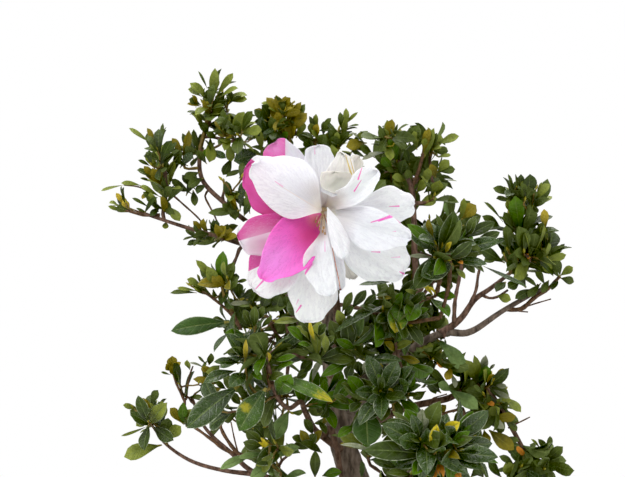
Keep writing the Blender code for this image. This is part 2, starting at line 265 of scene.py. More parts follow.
def leaf_blade(name, dark, light, gloss_roughness, hairs=0.0, gloss=0.36, turned=None, rib="#6E7E3E"):
    """A leaf's face: a waxy cuticle, whose sheen the fine net of veins breaks up, over uneven green, with
    side veins pressed in and a paler midrib. Hairs lie flat on some blades as pale specks in the colour,
    partly the hairs' own whiteness and partly painted glints where they catch the light. A blade that turns
    has a blotch of another colour: its place across and along the blade, its reach and its colour."""
    vein_count = 7
    vein_slant = 2.4
    material, tree, shader = finish_of(name, Specular_IOR_Level=gloss, IOR=1.45)
    uv = add(tree, "UVMap")
    across, along = (add(tree, "SeparateXYZ", {0: uv}, out=axis) for axis in "XY")
    place = add(tree, "TexCoord", out="Object")
    mottle = add(tree, "TexNoise", {"Vector": place, "Scale": per_mm(5), "Detail": 4.0, "Roughness": 0.65})
    tone = add(tree, "Math", {0: along, 1: 0.45, 2: mottle}, operation="MULTIPLY_ADD")
    spread = add(tree, "MapRange", {0: tone, "From Min": 0.42, "From Max": 0.95})
    colour = add(tree, "Mix", {0: spread, LOW: linear(dark), HIGH: linear(light)}, **COLOURS)
    off_middle = add(tree, "Math", {0: across, 1: 0.5}, operation="SUBTRACT")
    beside = add(tree, "Math", {0: off_middle}, operation="ABSOLUTE")
    if turned:
        middle, reach, hue = turned
        gap = add(tree, "VectorMath", {0: uv, 1: (*middle, 0)}, operation="SUBTRACT")
        # A blade is about half as wide as it is long
        real = add(tree, "VectorMath", {0: gap, 1: (0.45, 1, 0)}, operation="MULTIPLY")
        away = add(tree, "VectorMath", {0: real}, out="Value", operation="LENGTH")
        torn = add(tree, "TexNoise", {"Vector": place, "Scale": per_mm(1.3), "Detail": 4.0})
        edge = add(tree, "Math", {0: torn, 1: -1.6 * reach, 2: away}, operation="MULTIPLY_ADD")
        blotch = add(tree, "MapRange", {0: edge, "From Min": 0.45 * reach, "From Max": -0.25 * reach})
        colour = add(tree, "Mix", {0: blotch, LOW: colour, HIGH: linear(hue)}, **COLOURS)
    ranks = add(tree, "Math", {0: along, 1: vein_count}, operation="MULTIPLY")
    phase = add(tree, "Math", {0: beside, 1: -vein_slant, 2: ranks}, operation="MULTIPLY_ADD")
    wave = add(tree, "Math", {0: phase, 1: 0.5}, operation="PINGPONG")
    groove = add(tree, "MapRange", {0: wave, "From Max": 0.14})
    net = add(tree, "TexNoise", {"Vector": place, "Scale": per_mm(0.9), "Detail": 2.0})
    relief = add(tree, "Math", {0: net, 1: 1.6, 2: groove}, operation="MULTIPLY_ADD")
    bump = add(tree, "Bump", {"Height": relief, "Strength": 0.6, "Distance": 0.18 * MM})
    tree.links.new(bump, shader.inputs["Normal"])
    sheen = {"To Min": gloss_roughness - 0.1, "To Max": gloss_roughness + 0.18}
    wax = add(tree, "MapRange", {0: net, "From Min": 0.3, "From Max": 0.7, **sheen})
    tree.links.new(wax, shader.inputs["Roughness"])
    vein = add(tree, "MapRange", {0: wave, "From Min": 0.07, "From Max": 0.0, "To Max": 0.16})
    colour = add(tree, "Mix", {0: vein, LOW: colour, HIGH: linear(rib)}, **COLOURS)
    midrib = add(tree, "MapRange", {0: beside, "From Min": 0.045, "From Max": 0.015, "To Max": 0.45})
    colour = add(tree, "Mix", {0: midrib, LOW: colour, HIGH: linear(rib)}, **COLOURS)
    if hairs:
        # The hairs are finer than this in life, and are drawn this coarse so that they show. Their pale
        # specks are partly painted glints of light on the hairs
        hair = {"Scale": per_mm(0.45), "Detail": 1.0, "Roughness": 0.7}
        fuzz = add(tree, "TexNoise", {"Vector": place, **hair})
        specks = add(tree, "MapRange", {0: fuzz, "From Min": 0.64, "From Max": 0.72, "To Max": hairs})
        colour = add(tree, "Mix", {0: specks, LOW: colour, HIGH: linear("#A9B39A")}, **COLOURS)
    tree.links.new(colour, shader.inputs["Base Color"])
    return material


def soft_matter(name, dark, light, grain_mm, roughness, relief_mm=0.0, stretch=(1, 1, 1)):
    """Matte living or earthen matter: two colours of it in grains of a real size, and their relief."""
    material, tree, shader = finish_of(name, Roughness=roughness)
    place = add(tree, "TexCoord", out="Object")
    pulled = add(tree, "Mapping", {"Vector": place, "Scale": stretch})
    grain = add(tree, "TexNoise", {"Vector": pulled, "Scale": per_mm(grain_mm), "Detail": 4.0})
    spread = add(tree, "MapRange", {0: grain, "From Min": 0.35, "From Max": 0.65})
    colour = add(tree, "Mix", {0: spread, LOW: linear(dark), HIGH: linear(light)}, **COLOURS)
    tree.links.new(colour, shader.inputs["Base Color"])
    if relief_mm:
        bump = add(tree, "Bump", {"Height": grain, "Strength": 0.8, "Distance": relief_mm * MM})
        tree.links.new(bump, shader.inputs["Normal"])
    return material


# Blotches on two of the leaves: their place across and along the blade, their reach and their colour
YELLOWED_TIP = ((0.55, 1.02), 0.26, "#A89E1C")
YELLOW_SPOT = ((0.74, 0.58), 0.10, "#8E8A1A")
# Upper faces of the leaves: waxy blades in the greens of old and new growth
BLADES = {
    "deep": leaf_blade("leaf_deep_green", "#131B04", "#384A0E", 0.36, gloss=0.4),
    "dark": leaf_blade("leaf_dark_green", "#1D2806", "#4F5E1E", 0.42),
    "mid": leaf_blade("leaf_mid_green", "#37440D", "#818C36", 0.46),
    "fresh": leaf_blade("leaf_fresh_green", "#193008", "#3C5920", 0.42),
    "bright": leaf_blade("leaf_bright_green", "#152E02", "#4F7309", 0.38, gloss=0.3),
    "olive": leaf_blade("leaf_olive", "#393A04", "#877B19", 0.5, rib="#8A8430"),
    "greyed": leaf_blade("leaf_downy_green", "#0C1804", "#364D1B", 0.26, hairs=0.38, gloss=0.55),
    "teal": leaf_blade("leaf_grey_green", "#324A20", "#799253", 0.44, gloss=0.3),
    "pale": leaf_blade("leaf_hoary", "#424D2F", "#92967A", 0.45, hairs=0.6, gloss=0.4),
    "ochre": leaf_blade("leaf_opening", "#5E580A", "#BCA632", 0.5, rib="#A8A03C"),
    "yellow": leaf_blade("leaf_yellow", "#6F6606", "#D8C424", 0.45, hairs=0.3, gloss=0.45, rib="#C4B83C"),
    "dead": leaf_blade("leaf_withered", "#915411", "#E99A3D", 0.55, rib="#C8A050"),
    "turning": leaf_blade("leaf_turning", "#152E02", "#4F710E", 0.38, 0.45, 0.35, YELLOWED_TIP),
    "spotted": leaf_blade("leaf_spotted", "#122804", "#3D5A13", 0.36, 0.45, 0.4, YELLOW_SPOT),
}
# A leaf's underside: paler and duller than its face, as it has no wax
UNDERSIDE = leaf_blade("leaf_underside", "#303E18", "#64723E", 0.6, gloss=0.1, rib="#8A9458")
# The raised midrib: a pale green line with a soft sheen
MIDRIB = soft_matter("leaf_midrib", "#3A4C1A", "#6C7E40", 1.5, 0.45)
# The fringe of hairs at a leaf's edge: whitish specks over green, with no sheen
MARGIN = soft_matter("leaf_margin_hairs", "#2C3E16", "#A6B090", 1.8, 0.7)
# A leaf's stalk: dull yellow-green
PETIOLE = soft_matter("leaf_stalk", "#6E6A26", "#8A7E36", 1.0, 0.6)
# Barks: brown and nearly smooth when young, ochre on this year's shoots, grey-brown and rough when old
YOUNG_BARK = soft_matter("young_bark", "#3E2A1A", "#6E4E32", 1.2, 0.75, relief_mm=0.15)
SHOOT_BARK = soft_matter("shoot_bark", "#5E4C20", "#847032", 1.0, 0.7, relief_mm=0.1)
BOUGH_BARK = soft_matter("bough_bark", "#3E2A20", "#75594A", 1.6, 0.85, relief_mm=0.3, stretch=(1, 1, 0.5))
OLD_BARK = soft_matter("old_bark", "#3C3029", "#7C6D60", 2.2, 0.9, relief_mm=0.5, stretch=(1, 1, 0.35))
# Leaf buds: yellow-green, like felt
BUD = soft_matter("leaf_bud", "#7E7A1A", "#A8A02A", 0.8, 0.6)
# Potting grit in three browns: dry and matte, with a fine tooth
GRIT = [
    soft_matter("soil_dark", "#2C2018", "#463427", 0.8, 0.95, relief_mm=0.2),
    soft_matter("soil_brown", "#4A3424", "#6A4E38", 0.8, 0.95, relief_mm=0.2),
    soft_matter("soil_tan", "#7A5E42", "#9A7C5C", 0.8, 0.95, relief_mm=0.2),
]

# ---------------------------------------------------------------- camera, floor and light

FLOOR_RADIUS = 850 * MM
# Shade between the leaves goes to a full black: this much linear light is taken off each channel
BLACK_POINT = (0.004, 0.004, 0.006)
# The strength of the room's light from below and from above
ROOM_LIGHT_BELOW = 0.22
ROOM_LIGHT_ABOVE = 0.60
# Each lamp's place in mm, its width in metres and its power in watts; all point at the crown
LAMPS = {
    "key": ((-700, -900, 1100), 1.3, 14.5),
    "fill": ((900, -900, 400), 1.4, 4),
    "top": ((100, 300, 1300), 1.0, 12),
}
LAMP_AIM = Vector((0, 0, 200)) * MM


def make_camera():
    lens = bpy.data.cameras.new("camera")
    lens.sensor_fit = "HORIZONTAL"
    lens.lens = lens.sensor_width * FOCAL_PX / FRAME_WIDTH_PX
    lens.clip_start = 10 * MM
    camera = new_object("camera", lens)
    camera.location = CAMERA_PLACE
    camera.rotation_euler = (math.pi / 2, 0, 0)
    bpy.context.scene.camera = camera


def make_floor():
    shape = bmesh.new()
    bmesh.ops.create_circle(shape, cap_ends=True, segments=128, radius=FLOOR_RADIUS)
    mesh = bpy.data.meshes.new("floor")
    shape.to_mesh(mesh)
    shape.free()
    board = finish_of("white_board", Base_Color=linear("#EEEEEC"), Roughness=0.85)[0]
    mesh.materials.append(board)
    new_object("floor", mesh)


def area_light(name, place_mm, size, power):
    lamp = bpy.data.lights.new(name, "AREA")
    lamp.shape = "DISK"
    lamp.size = size
    lamp.energy = power
    light = new_object(name, lamp)
    light.location = Vector(place_mm) * MM
    light.rotation_euler = (LAMP_AIM - light.location).to_track_quat("-Z", "Y").to_euler()
    light.visible_camera = False


def make_light():
    """A white room: the backdrop is pure white to the eye, and the lamps are broad and soft."""
    room = bpy.data.worlds.new("white_room")
    bpy.context.scene.world = room
    room.use_nodes = True
    tree = room.node_tree
    background = tree.nodes["Background"]
    background.inputs["Color"].default_value = (1, 1, 1, 1)
    way = add(tree, "TexCoord", out="Generated")
    height = add(tree, "SeparateXYZ", {0: way}, out="Z")
    rise = {"From Min": -0.3, "From Max": 0.9, "To Min": ROOM_LIGHT_BELOW, "To Max": ROOM_LIGHT_ABOVE}
    around = add(tree, "MapRange", {0: height, **rise})
    seen = add(tree, "LightPath", out="Is Camera Ray")
    strength = add(tree, "MapRange", {0: seen, "To Min": around, "To Max": 1.0})
    tree.links.new(strength, background.inputs["Strength"])
    for name, lamp in LAMPS.items():
        area_light(name, *lamp)
    seen_as = bpy.context.scene.view_settings
    seen_as.view_transform = "Standard"
    seen_as.look = "None"
    seen_as.use_curve_mapping = True
    seen_as.curve_mapping.black_level = BLACK_POINT
    seen_as.curve_mapping.update()


# ---------------------------------------------------------------- wood

# The limbs of the frame: (radius at the foot, radius at the tip, places along the limb), all in mm
LIMBS = {
    "trunk": (9.5, 2.6, [
        (12, 0, 60.4), (11, 0, 78), (5, 4, 108), (-4, 3, 136), (-7, 5, 158), (-8, 14, 180), (-12, 20, 203),
    ]),
    "bough_left": (1.5, 0.7, [(-10, 15, 188), (-30, 5, 212), (-52, -2, 221), (-72, -5, 227), (-90, -5, 233)]),
    "bough_top_left": (1.3, 0.9, [
        (-11, 18, 197), (-39, 6, 224), (-53, 0, 236), (-65, 5, 248), (-66, 8, 262), (-62, 10, 275),
    ]),
    "bough_top": (1.8, 0.9, [(-12, 20, 201), (-19, 26, 233), (-24, 23, 255), (-29, 17, 268)]),
    "bough_right": (2.9, 0.8, [
        (-6, 4, 150), (16, -8, 166), (39, -10, 180), (53, -8, 181), (69, -5, 191), (87, -4, 201),
    ]),
    "bough_right_rising": (1.7, 0.8, [
        (40, -10, 180), (49, -8, 187), (55, -6, 195), (62, -6, 200), (71, -6, 207),
    ]),
    "bough_right_tall": (1.9, 1.0, [
        (20, -9, 168), (29, -6, 190), (29, 0, 217), (29, 2, 232), (28, 6, 245), (23, 9, 256),
    ]),
    "bough_low_left": (1.9, 0.7, [
        (0, 4, 126), (-14, -15, 138), (-19, -30, 148), (-21, -38, 153), (-26, -46, 151), (-31, -54, 157),
        (-34, -64, 170),
    ]),
    "bough_low_left_outer": (1.8, 0.6, [
        (5, 4, 106), (-21, -8, 114), (-41, -13, 120), (-51, -12, 128), (-63, -8, 139), (-69, -6, 152),
    ]),
    "bough_low_left_long": (1.1, 0.6, [
        (-39, -12, 119), (-55, -13, 121), (-69, -12, 125), (-80, -10, 132), (-86, -10, 140),
    ]),
    "bough_low_right": (3.0, 1.2, [(6, 3, 102), (13, -20, 116), (25, -50, 124), (34, -70, 134)]),
    "bough_low_right_outer": (2.1, 0.9, [
        (-3, 3, 132), (21, 4, 145), (43, 0, 151), (60, 0, 156), (78, 0, 128),
    ]),
    "bough_front": (2.2, 1.3, [
        (-7, 5, 160), (-5, -18, 180), (-7, -40, 204), (-10, -56, 224), (-11, -69, 232.5),
    ]),
    "bough_back_left": (2.6, 1.2, [(-7, 8, 165), (-22, 34, 184), (-30, 58, 200)]),
    "bough_back_right": (2.6, 1.2, [(-3, 4, 140), (14, 34, 152), (24, 62, 164)]),
}
# The foot of the trunk swells by this share into roots, up to this height
ROOT_FLARE = 0.85
ROOT_FLARE_HEIGHT = 13 * MM
ROOT_COUNT = 5
# A bough swells by this share where it leaves the wood, over this many of its radii
COLLAR_SWELLING = 0.55
COLLAR_REACH = 2.2
# How fine the meshes of the trunk and of a bough are: the step along it, and its sides
TRUNK_FINENESS = (1.2 * MM, 56)
BOUGH_FINENESS = (1.5 * MM, 18)
# Limbs thicker than this at the foot, in mm, have old bark
OLD_BARK_RADIUS = 2.3


def bark_relief(place, turn, radius, seed):
    """How far the bark stands out: long furrows, swellings at old nodes and fine scale."""
    across = Vector((math.cos(turn), math.sin(turn), 0))
    furrows = noise.noise(Vector((across.x * 2.2, across.y * 2.2, place.length * 45)) + seed)
    swelling = noise.noise(place * 70 + across * 0.8 + seed)
    scale = noise.noise(place * 600 + across * 3)
    return radius * (0.13 * furrows + 0.14 * swelling + 0.05 * scale)


def add_limb(patch, name):
    foot, tip, places = LIMBS[name]
    is_trunk = name == "trunk"
    step, sides = TRUNK_FINENESS if is_trunk else BOUGH_FINENESS
    route = smooth_route(in_metres(places), step)
    frames = frames_along(route, Vector((1, 0, 0)) if is_trunk else UP)
    seed = Vector((len(name), foot, tip))
    points, run = [], 0.0
    for i, (place, (across, over)) in enumerate(zip(route, frames)):
        run += (place - route[i - 1]).length if i else 0
        radius = mix(foot, tip, (i / (len(route) - 1)) ** 0.75) * MM
        collar = 0 if is_trunk else COLLAR_SWELLING * math.exp(-run / (COLLAR_REACH * foot * MM))
        height = place.z - route[0].z
        near_ground = max(0.0, 1 - height / ROOT_FLARE_HEIGHT) ** 1.6 if is_trunk else 0
        for turn in round_turns(sides):
            root = 0.5 + 0.5 * math.cos(ROOT_COUNT * turn + 0.6)
            swell = 1 + collar + ROOT_FLARE * near_ground * mix(0.35, 1, root)
            way = across * math.cos(turn) + over * math.sin(turn)
            points.append(place + way * (radius * swell + bark_relief(place, turn, radius, seed)))
    # The tip closes on itself a little past its end
    points += [route[-1] + (route[-1] - route[-2]).normalized() * MM] * sides
    quads = grid_quads(len(route) + 1, sides, closed=True)
    patch.add(points, quads, 0 if foot > OLD_BARK_RADIUS else 1)


def make_limbs():
    patch = Patchwork()
    for name in LIMBS:
        add_limb(patch, name)
    patch.place("trunk_and_boughs", [OLD_BARK, BOUGH_BARK], "bark", list(LIMBS))


# ---------------------------------------------------------------- twigs

# A twig's radius at its tip, the power of the tips it carries by which it thickens, and its thickest
TWIG_RADIUS = 0.42 * MM
TWIG_THICKENING = 0.40
TWIG_LIMIT = 0.9 * MM
TWIG_STEP = 2.5 * MM
TWIG_STRAY = 0.22 * MM
TWIG_SIDES = 6
# The barks of the twigs, in the slots of their piece. Twigs that carry enough tips have the boughs' bark, and
# the last few steps of the others have a shoot's
OLD, YOUNG, OCHRE = range(3)
OLD_TWIG_TIPS = 3
SHOOT_STEPS = 3


class Wood:
    """The wood as it grows: points, each with the point it grew from and the way it grew there."""

    def __init__(self):
        self.places, self.ways, self.parents, self.shoots = [], [], [], []
        for _, _, places in LIMBS.values():
            route = smooth_route(in_metres(places), 3 * MM)
            for i, place in enumerate(route):
                self.extend(place, way_at(route, i), -1)
        self.limb_points = list(self.places)

    def extend(self, place, way, parent):
        self.places.append(place)
        self.ways.append(way)
        self.parents.append(parent)
        return len(self.places) - 1

    def best_parent(self, tip):
        """The nearest point of the wood, with a preference for growing on forwards from it."""
        gap = np.array(tip) - np.array(self.places)
        distance = np.linalg.norm(gap, axis=1) + 1e-9
        forwards = (gap * np.array(self.ways)).sum(axis=1) / distance
        return int(np.argmin(distance * (1.45 - 0.45 * forwards) + (distance < 3 * MM) * 1.0))

    def grow(self, tip, heading, rng):
        """A twig from the best place of the wood to a tip, where it ends in a heading."""
        parent = self.best_parent(tip)
        start, way = self.places[parent], self.ways[parent]
        gap = tip - start
        reach = gap.length
        # The handles of the curve: it leaves partly along the wood it grows from, and ends in its heading
        leave = (way * 0.6 + gap.normalized()).normalized() * reach * 0.38
        arrive = heading * reach * 0.36
        count = max(3, round(reach / TWIG_STEP))
        chain = [parent]
        for i in range(1, count + 1):
            t = i / count
            s = 1 - t
            place = start * s**3 + (start + leave) * 3 * s * s * t
            place += (tip - arrive) * 3 * s * t * t + tip * t**3
            if i < count:
                place += stray(rng, TWIG_STRAY)
            way = (place - self.places[chain[-1]]).normalized()
            chain.append(self.extend(place, way, chain[-1]))
        self.shoots.append(chain)

    def carried(self):
        """The number of tips that each point carries."""
        carried = [0] * len(self.places)
        for chain in self.shoots:
            point = chain[-1]
            while point != -1:
                carried[point] += 1
                point = self.parents[point]
        return carried


def make_twigs(wood):
    carried = wood.carried()
    thick = [min(TWIG_LIMIT, TWIG_RADIUS * max(1, tips) ** TWIG_THICKENING) for tips in carried]
    patch = Patchwork()
    for chain in wood.shoots:
        route = [wood.places[point] for point in chain]
        # A twig swells at its nodes, and starts no thicker than its first step
        radii = [thick[chain[max(i, 1)]] * (1 + 0.18 * math.sin(i * 2.4)) for i in range(len(chain))]
        barks = [OLD if carried[point] >= OLD_TWIG_TIPS else YOUNG for point in chain[1:]]
        barks[-SHOOT_STEPS:] = [OCHRE if bark == YOUNG else bark for bark in barks[-SHOOT_STEPS:]]
        add_tube(patch, route, radii, np.repeat(barks, TWIG_SIDES), TWIG_SIDES)
    sprigs = [[spot(x, y, depth) for x, y in places] for depth, _, _, places in SPRIGS]
    for (_, radius, bark, _), places in zip(SPRIGS, sprigs):
        others = [smooth_route(sprig, SPRIG_STEP) for sprig in sprigs if sprig is not places]
        bearers = sum(others, wood.limb_points)
        nearest = min(bearers, key=lambda point: (point - places[0]).length)
        if SPRIG_GAP < (nearest - places[0]).length < SPRIG_REACH:
            places = [nearest] + places
        route = smooth_route(places, SPRIG_STEP)
        taper = [mix(1.1, 0.75, i / (len(route) - 1)) for i in range(len(route))]
        radii = [radius * MM * share * (1 + 0.12 * math.sin(i * 2.1)) for i, share in enumerate(taper)]
        add_tube(patch, route, radii, bark, TWIG_SIDES)
    patch.place("twigs", [BOUGH_BARK, YOUNG_BARK, SHOOT_BARK], "bark")


# ---------------------------------------------------------------- leaves

# Where a leaf's faces take their finish from, in the slots of its piece. The mark stands for the finish of
# the leaf's own blade until the leaf is placed
UNDER_SLOT, MIDRIB_SLOT, MARGIN_SLOT, PETIOLE_SLOT = range(4)
BLADE_SLOTS = {name: 4 + i for i, name in enumerate(BLADES)}
LEAF_FINISHES = [UNDERSIDE, MIDRIB, MARGIN, PETIOLE] + list(BLADES.values())
BLADE_MARK = -1


def blade_width(share, spoon):
    """A leaf's width along its length as a share of its widest: a narrow stalk, broad past the middle, then
    pointed, or round-ended like a spoon."""
    power, fullness = (2.0, 0.60) if spoon else (1.45, 0.74)
    return max(0.09 - 0.6 * max(0, share - 0.88), math.sin(math.pi * share**power) ** fullness)


# A leaf's columns of points, from its left edge to its right: a near one has a midrib and a margin of hairs
NEAR_COLUMNS = (-1, -0.93, -0.5, -0.04, 0.04, 0.5, 0.93, 1)
FAR_COLUMNS = (-1, -0.5, 0, 0.5, 1)
UNDER_COLUMNS = (-1, 0, 1)


def leaf_slots(near, columns, rows):
    """The slots of a leaf's quads: its stalk, then its blade row by row, then its underside."""
    blade = [BLADE_MARK] * (len(columns) - 1)
    if near:
        blade[0] = blade[-1] = MARGIN_SLOT
        blade[len(blade) // 2] = MIDRIB_SLOT
    under = [UNDER_SLOT] * (len(UNDER_COLUMNS) - 1) * (rows - 1)
    return np.array([PETIOLE_SLOT] * len(blade) + blade * (rows - 2) + under)


def leaf_pattern(rng, near, spoon):
    """One leaf along +Y, face up along +Z: its points (x in leaf widths, y in leaf lengths, and z in both),
    its quads, their slots and their places on the blade."""
    columns = NEAR_COLUMNS if near else FAR_COLUMNS
    rows = 13 if near else 9
    fold = rng.uniform(0.10, 0.40)
    curl = rng.uniform(0.04, 0.26)
    bend = rng.uniform(-0.06, 0.06)
    twist = rng.uniform(-0.4, 0.4)
    wave = rng.uniform(0.0, 0.03)
    phase = rng.uniform(0, 6)
    points, uvs = [], []
    for level, sheet_columns in ((0.0, columns), (-0.05, UNDER_COLUMNS)):
        for row in range(rows):
            v = row / (rows - 1)
            half = 0.5 * blade_width(v, spoon)
            tilt = twist * v
            for c in sheet_columns:
                # The blade folds along its midrib, arches between that and its edges, and waves at the edges
                x = c * half
                arch = 0.16 * half * math.sin(math.pi * abs(c))
                z = abs(x) * fold + arch + wave * math.sin(9 * v + phase) * abs(c)
                if abs(c) < 1:
                    z += level
                # Then it twists, bends to a side and curls down towards its tip
                x, z = x * math.cos(tilt) - z * math.sin(tilt), x * math.sin(tilt) + z * math.cos(tilt)
                points.append((x, v - 0.2 * curl * v**3, z, bend * v * v, -curl * v**3))
                uvs.append((0.5 + c * 0.5, v))
    upper = grid_quads(rows, len(columns))
    under = grid_quads(rows, len(UNDER_COLUMNS))[:, ::-1] + rows * len(columns)
    quads = np.concatenate([upper, under])
    return np.array(points), quads, leaf_slots(near, columns, rows), np.array(uvs)[quads]


def add_leaf(patch, pattern, base, way, face, length, width, finish):
    """A leaf with its stalk at base, pointing way, its upper face turned to face."""
    points, quads, slots, uvs = pattern
    face = (face - way * face.dot(way)).normalized()
    across = way.cross(face)
    axes = np.array([across * width, way * length, face * width, across * length, face * length])
    slots = np.where(slots == BLADE_MARK, BLADE_SLOTS[finish], slots)
    patch.add(points @ axes + np.array(base), quads, slots, uvs)


# A pointed bud: how far along it each ring is and how wide, as shares of its length
BUD_LENGTH = 2.6 * MM
BUD_RINGS = ((0, 0.14), (0.3, 0.24), (0.7, 0.16), (1.0, 0.02))


def add_bud(patch, base, way):
    route = [base + way * along * BUD_LENGTH for along, _ in BUD_RINGS]
    add_tube(patch, route, [wide * BUD_LENGTH for _, wide in BUD_RINGS], 0, sides=6)


# ---------------------------------------------------------------- leaves that stand out

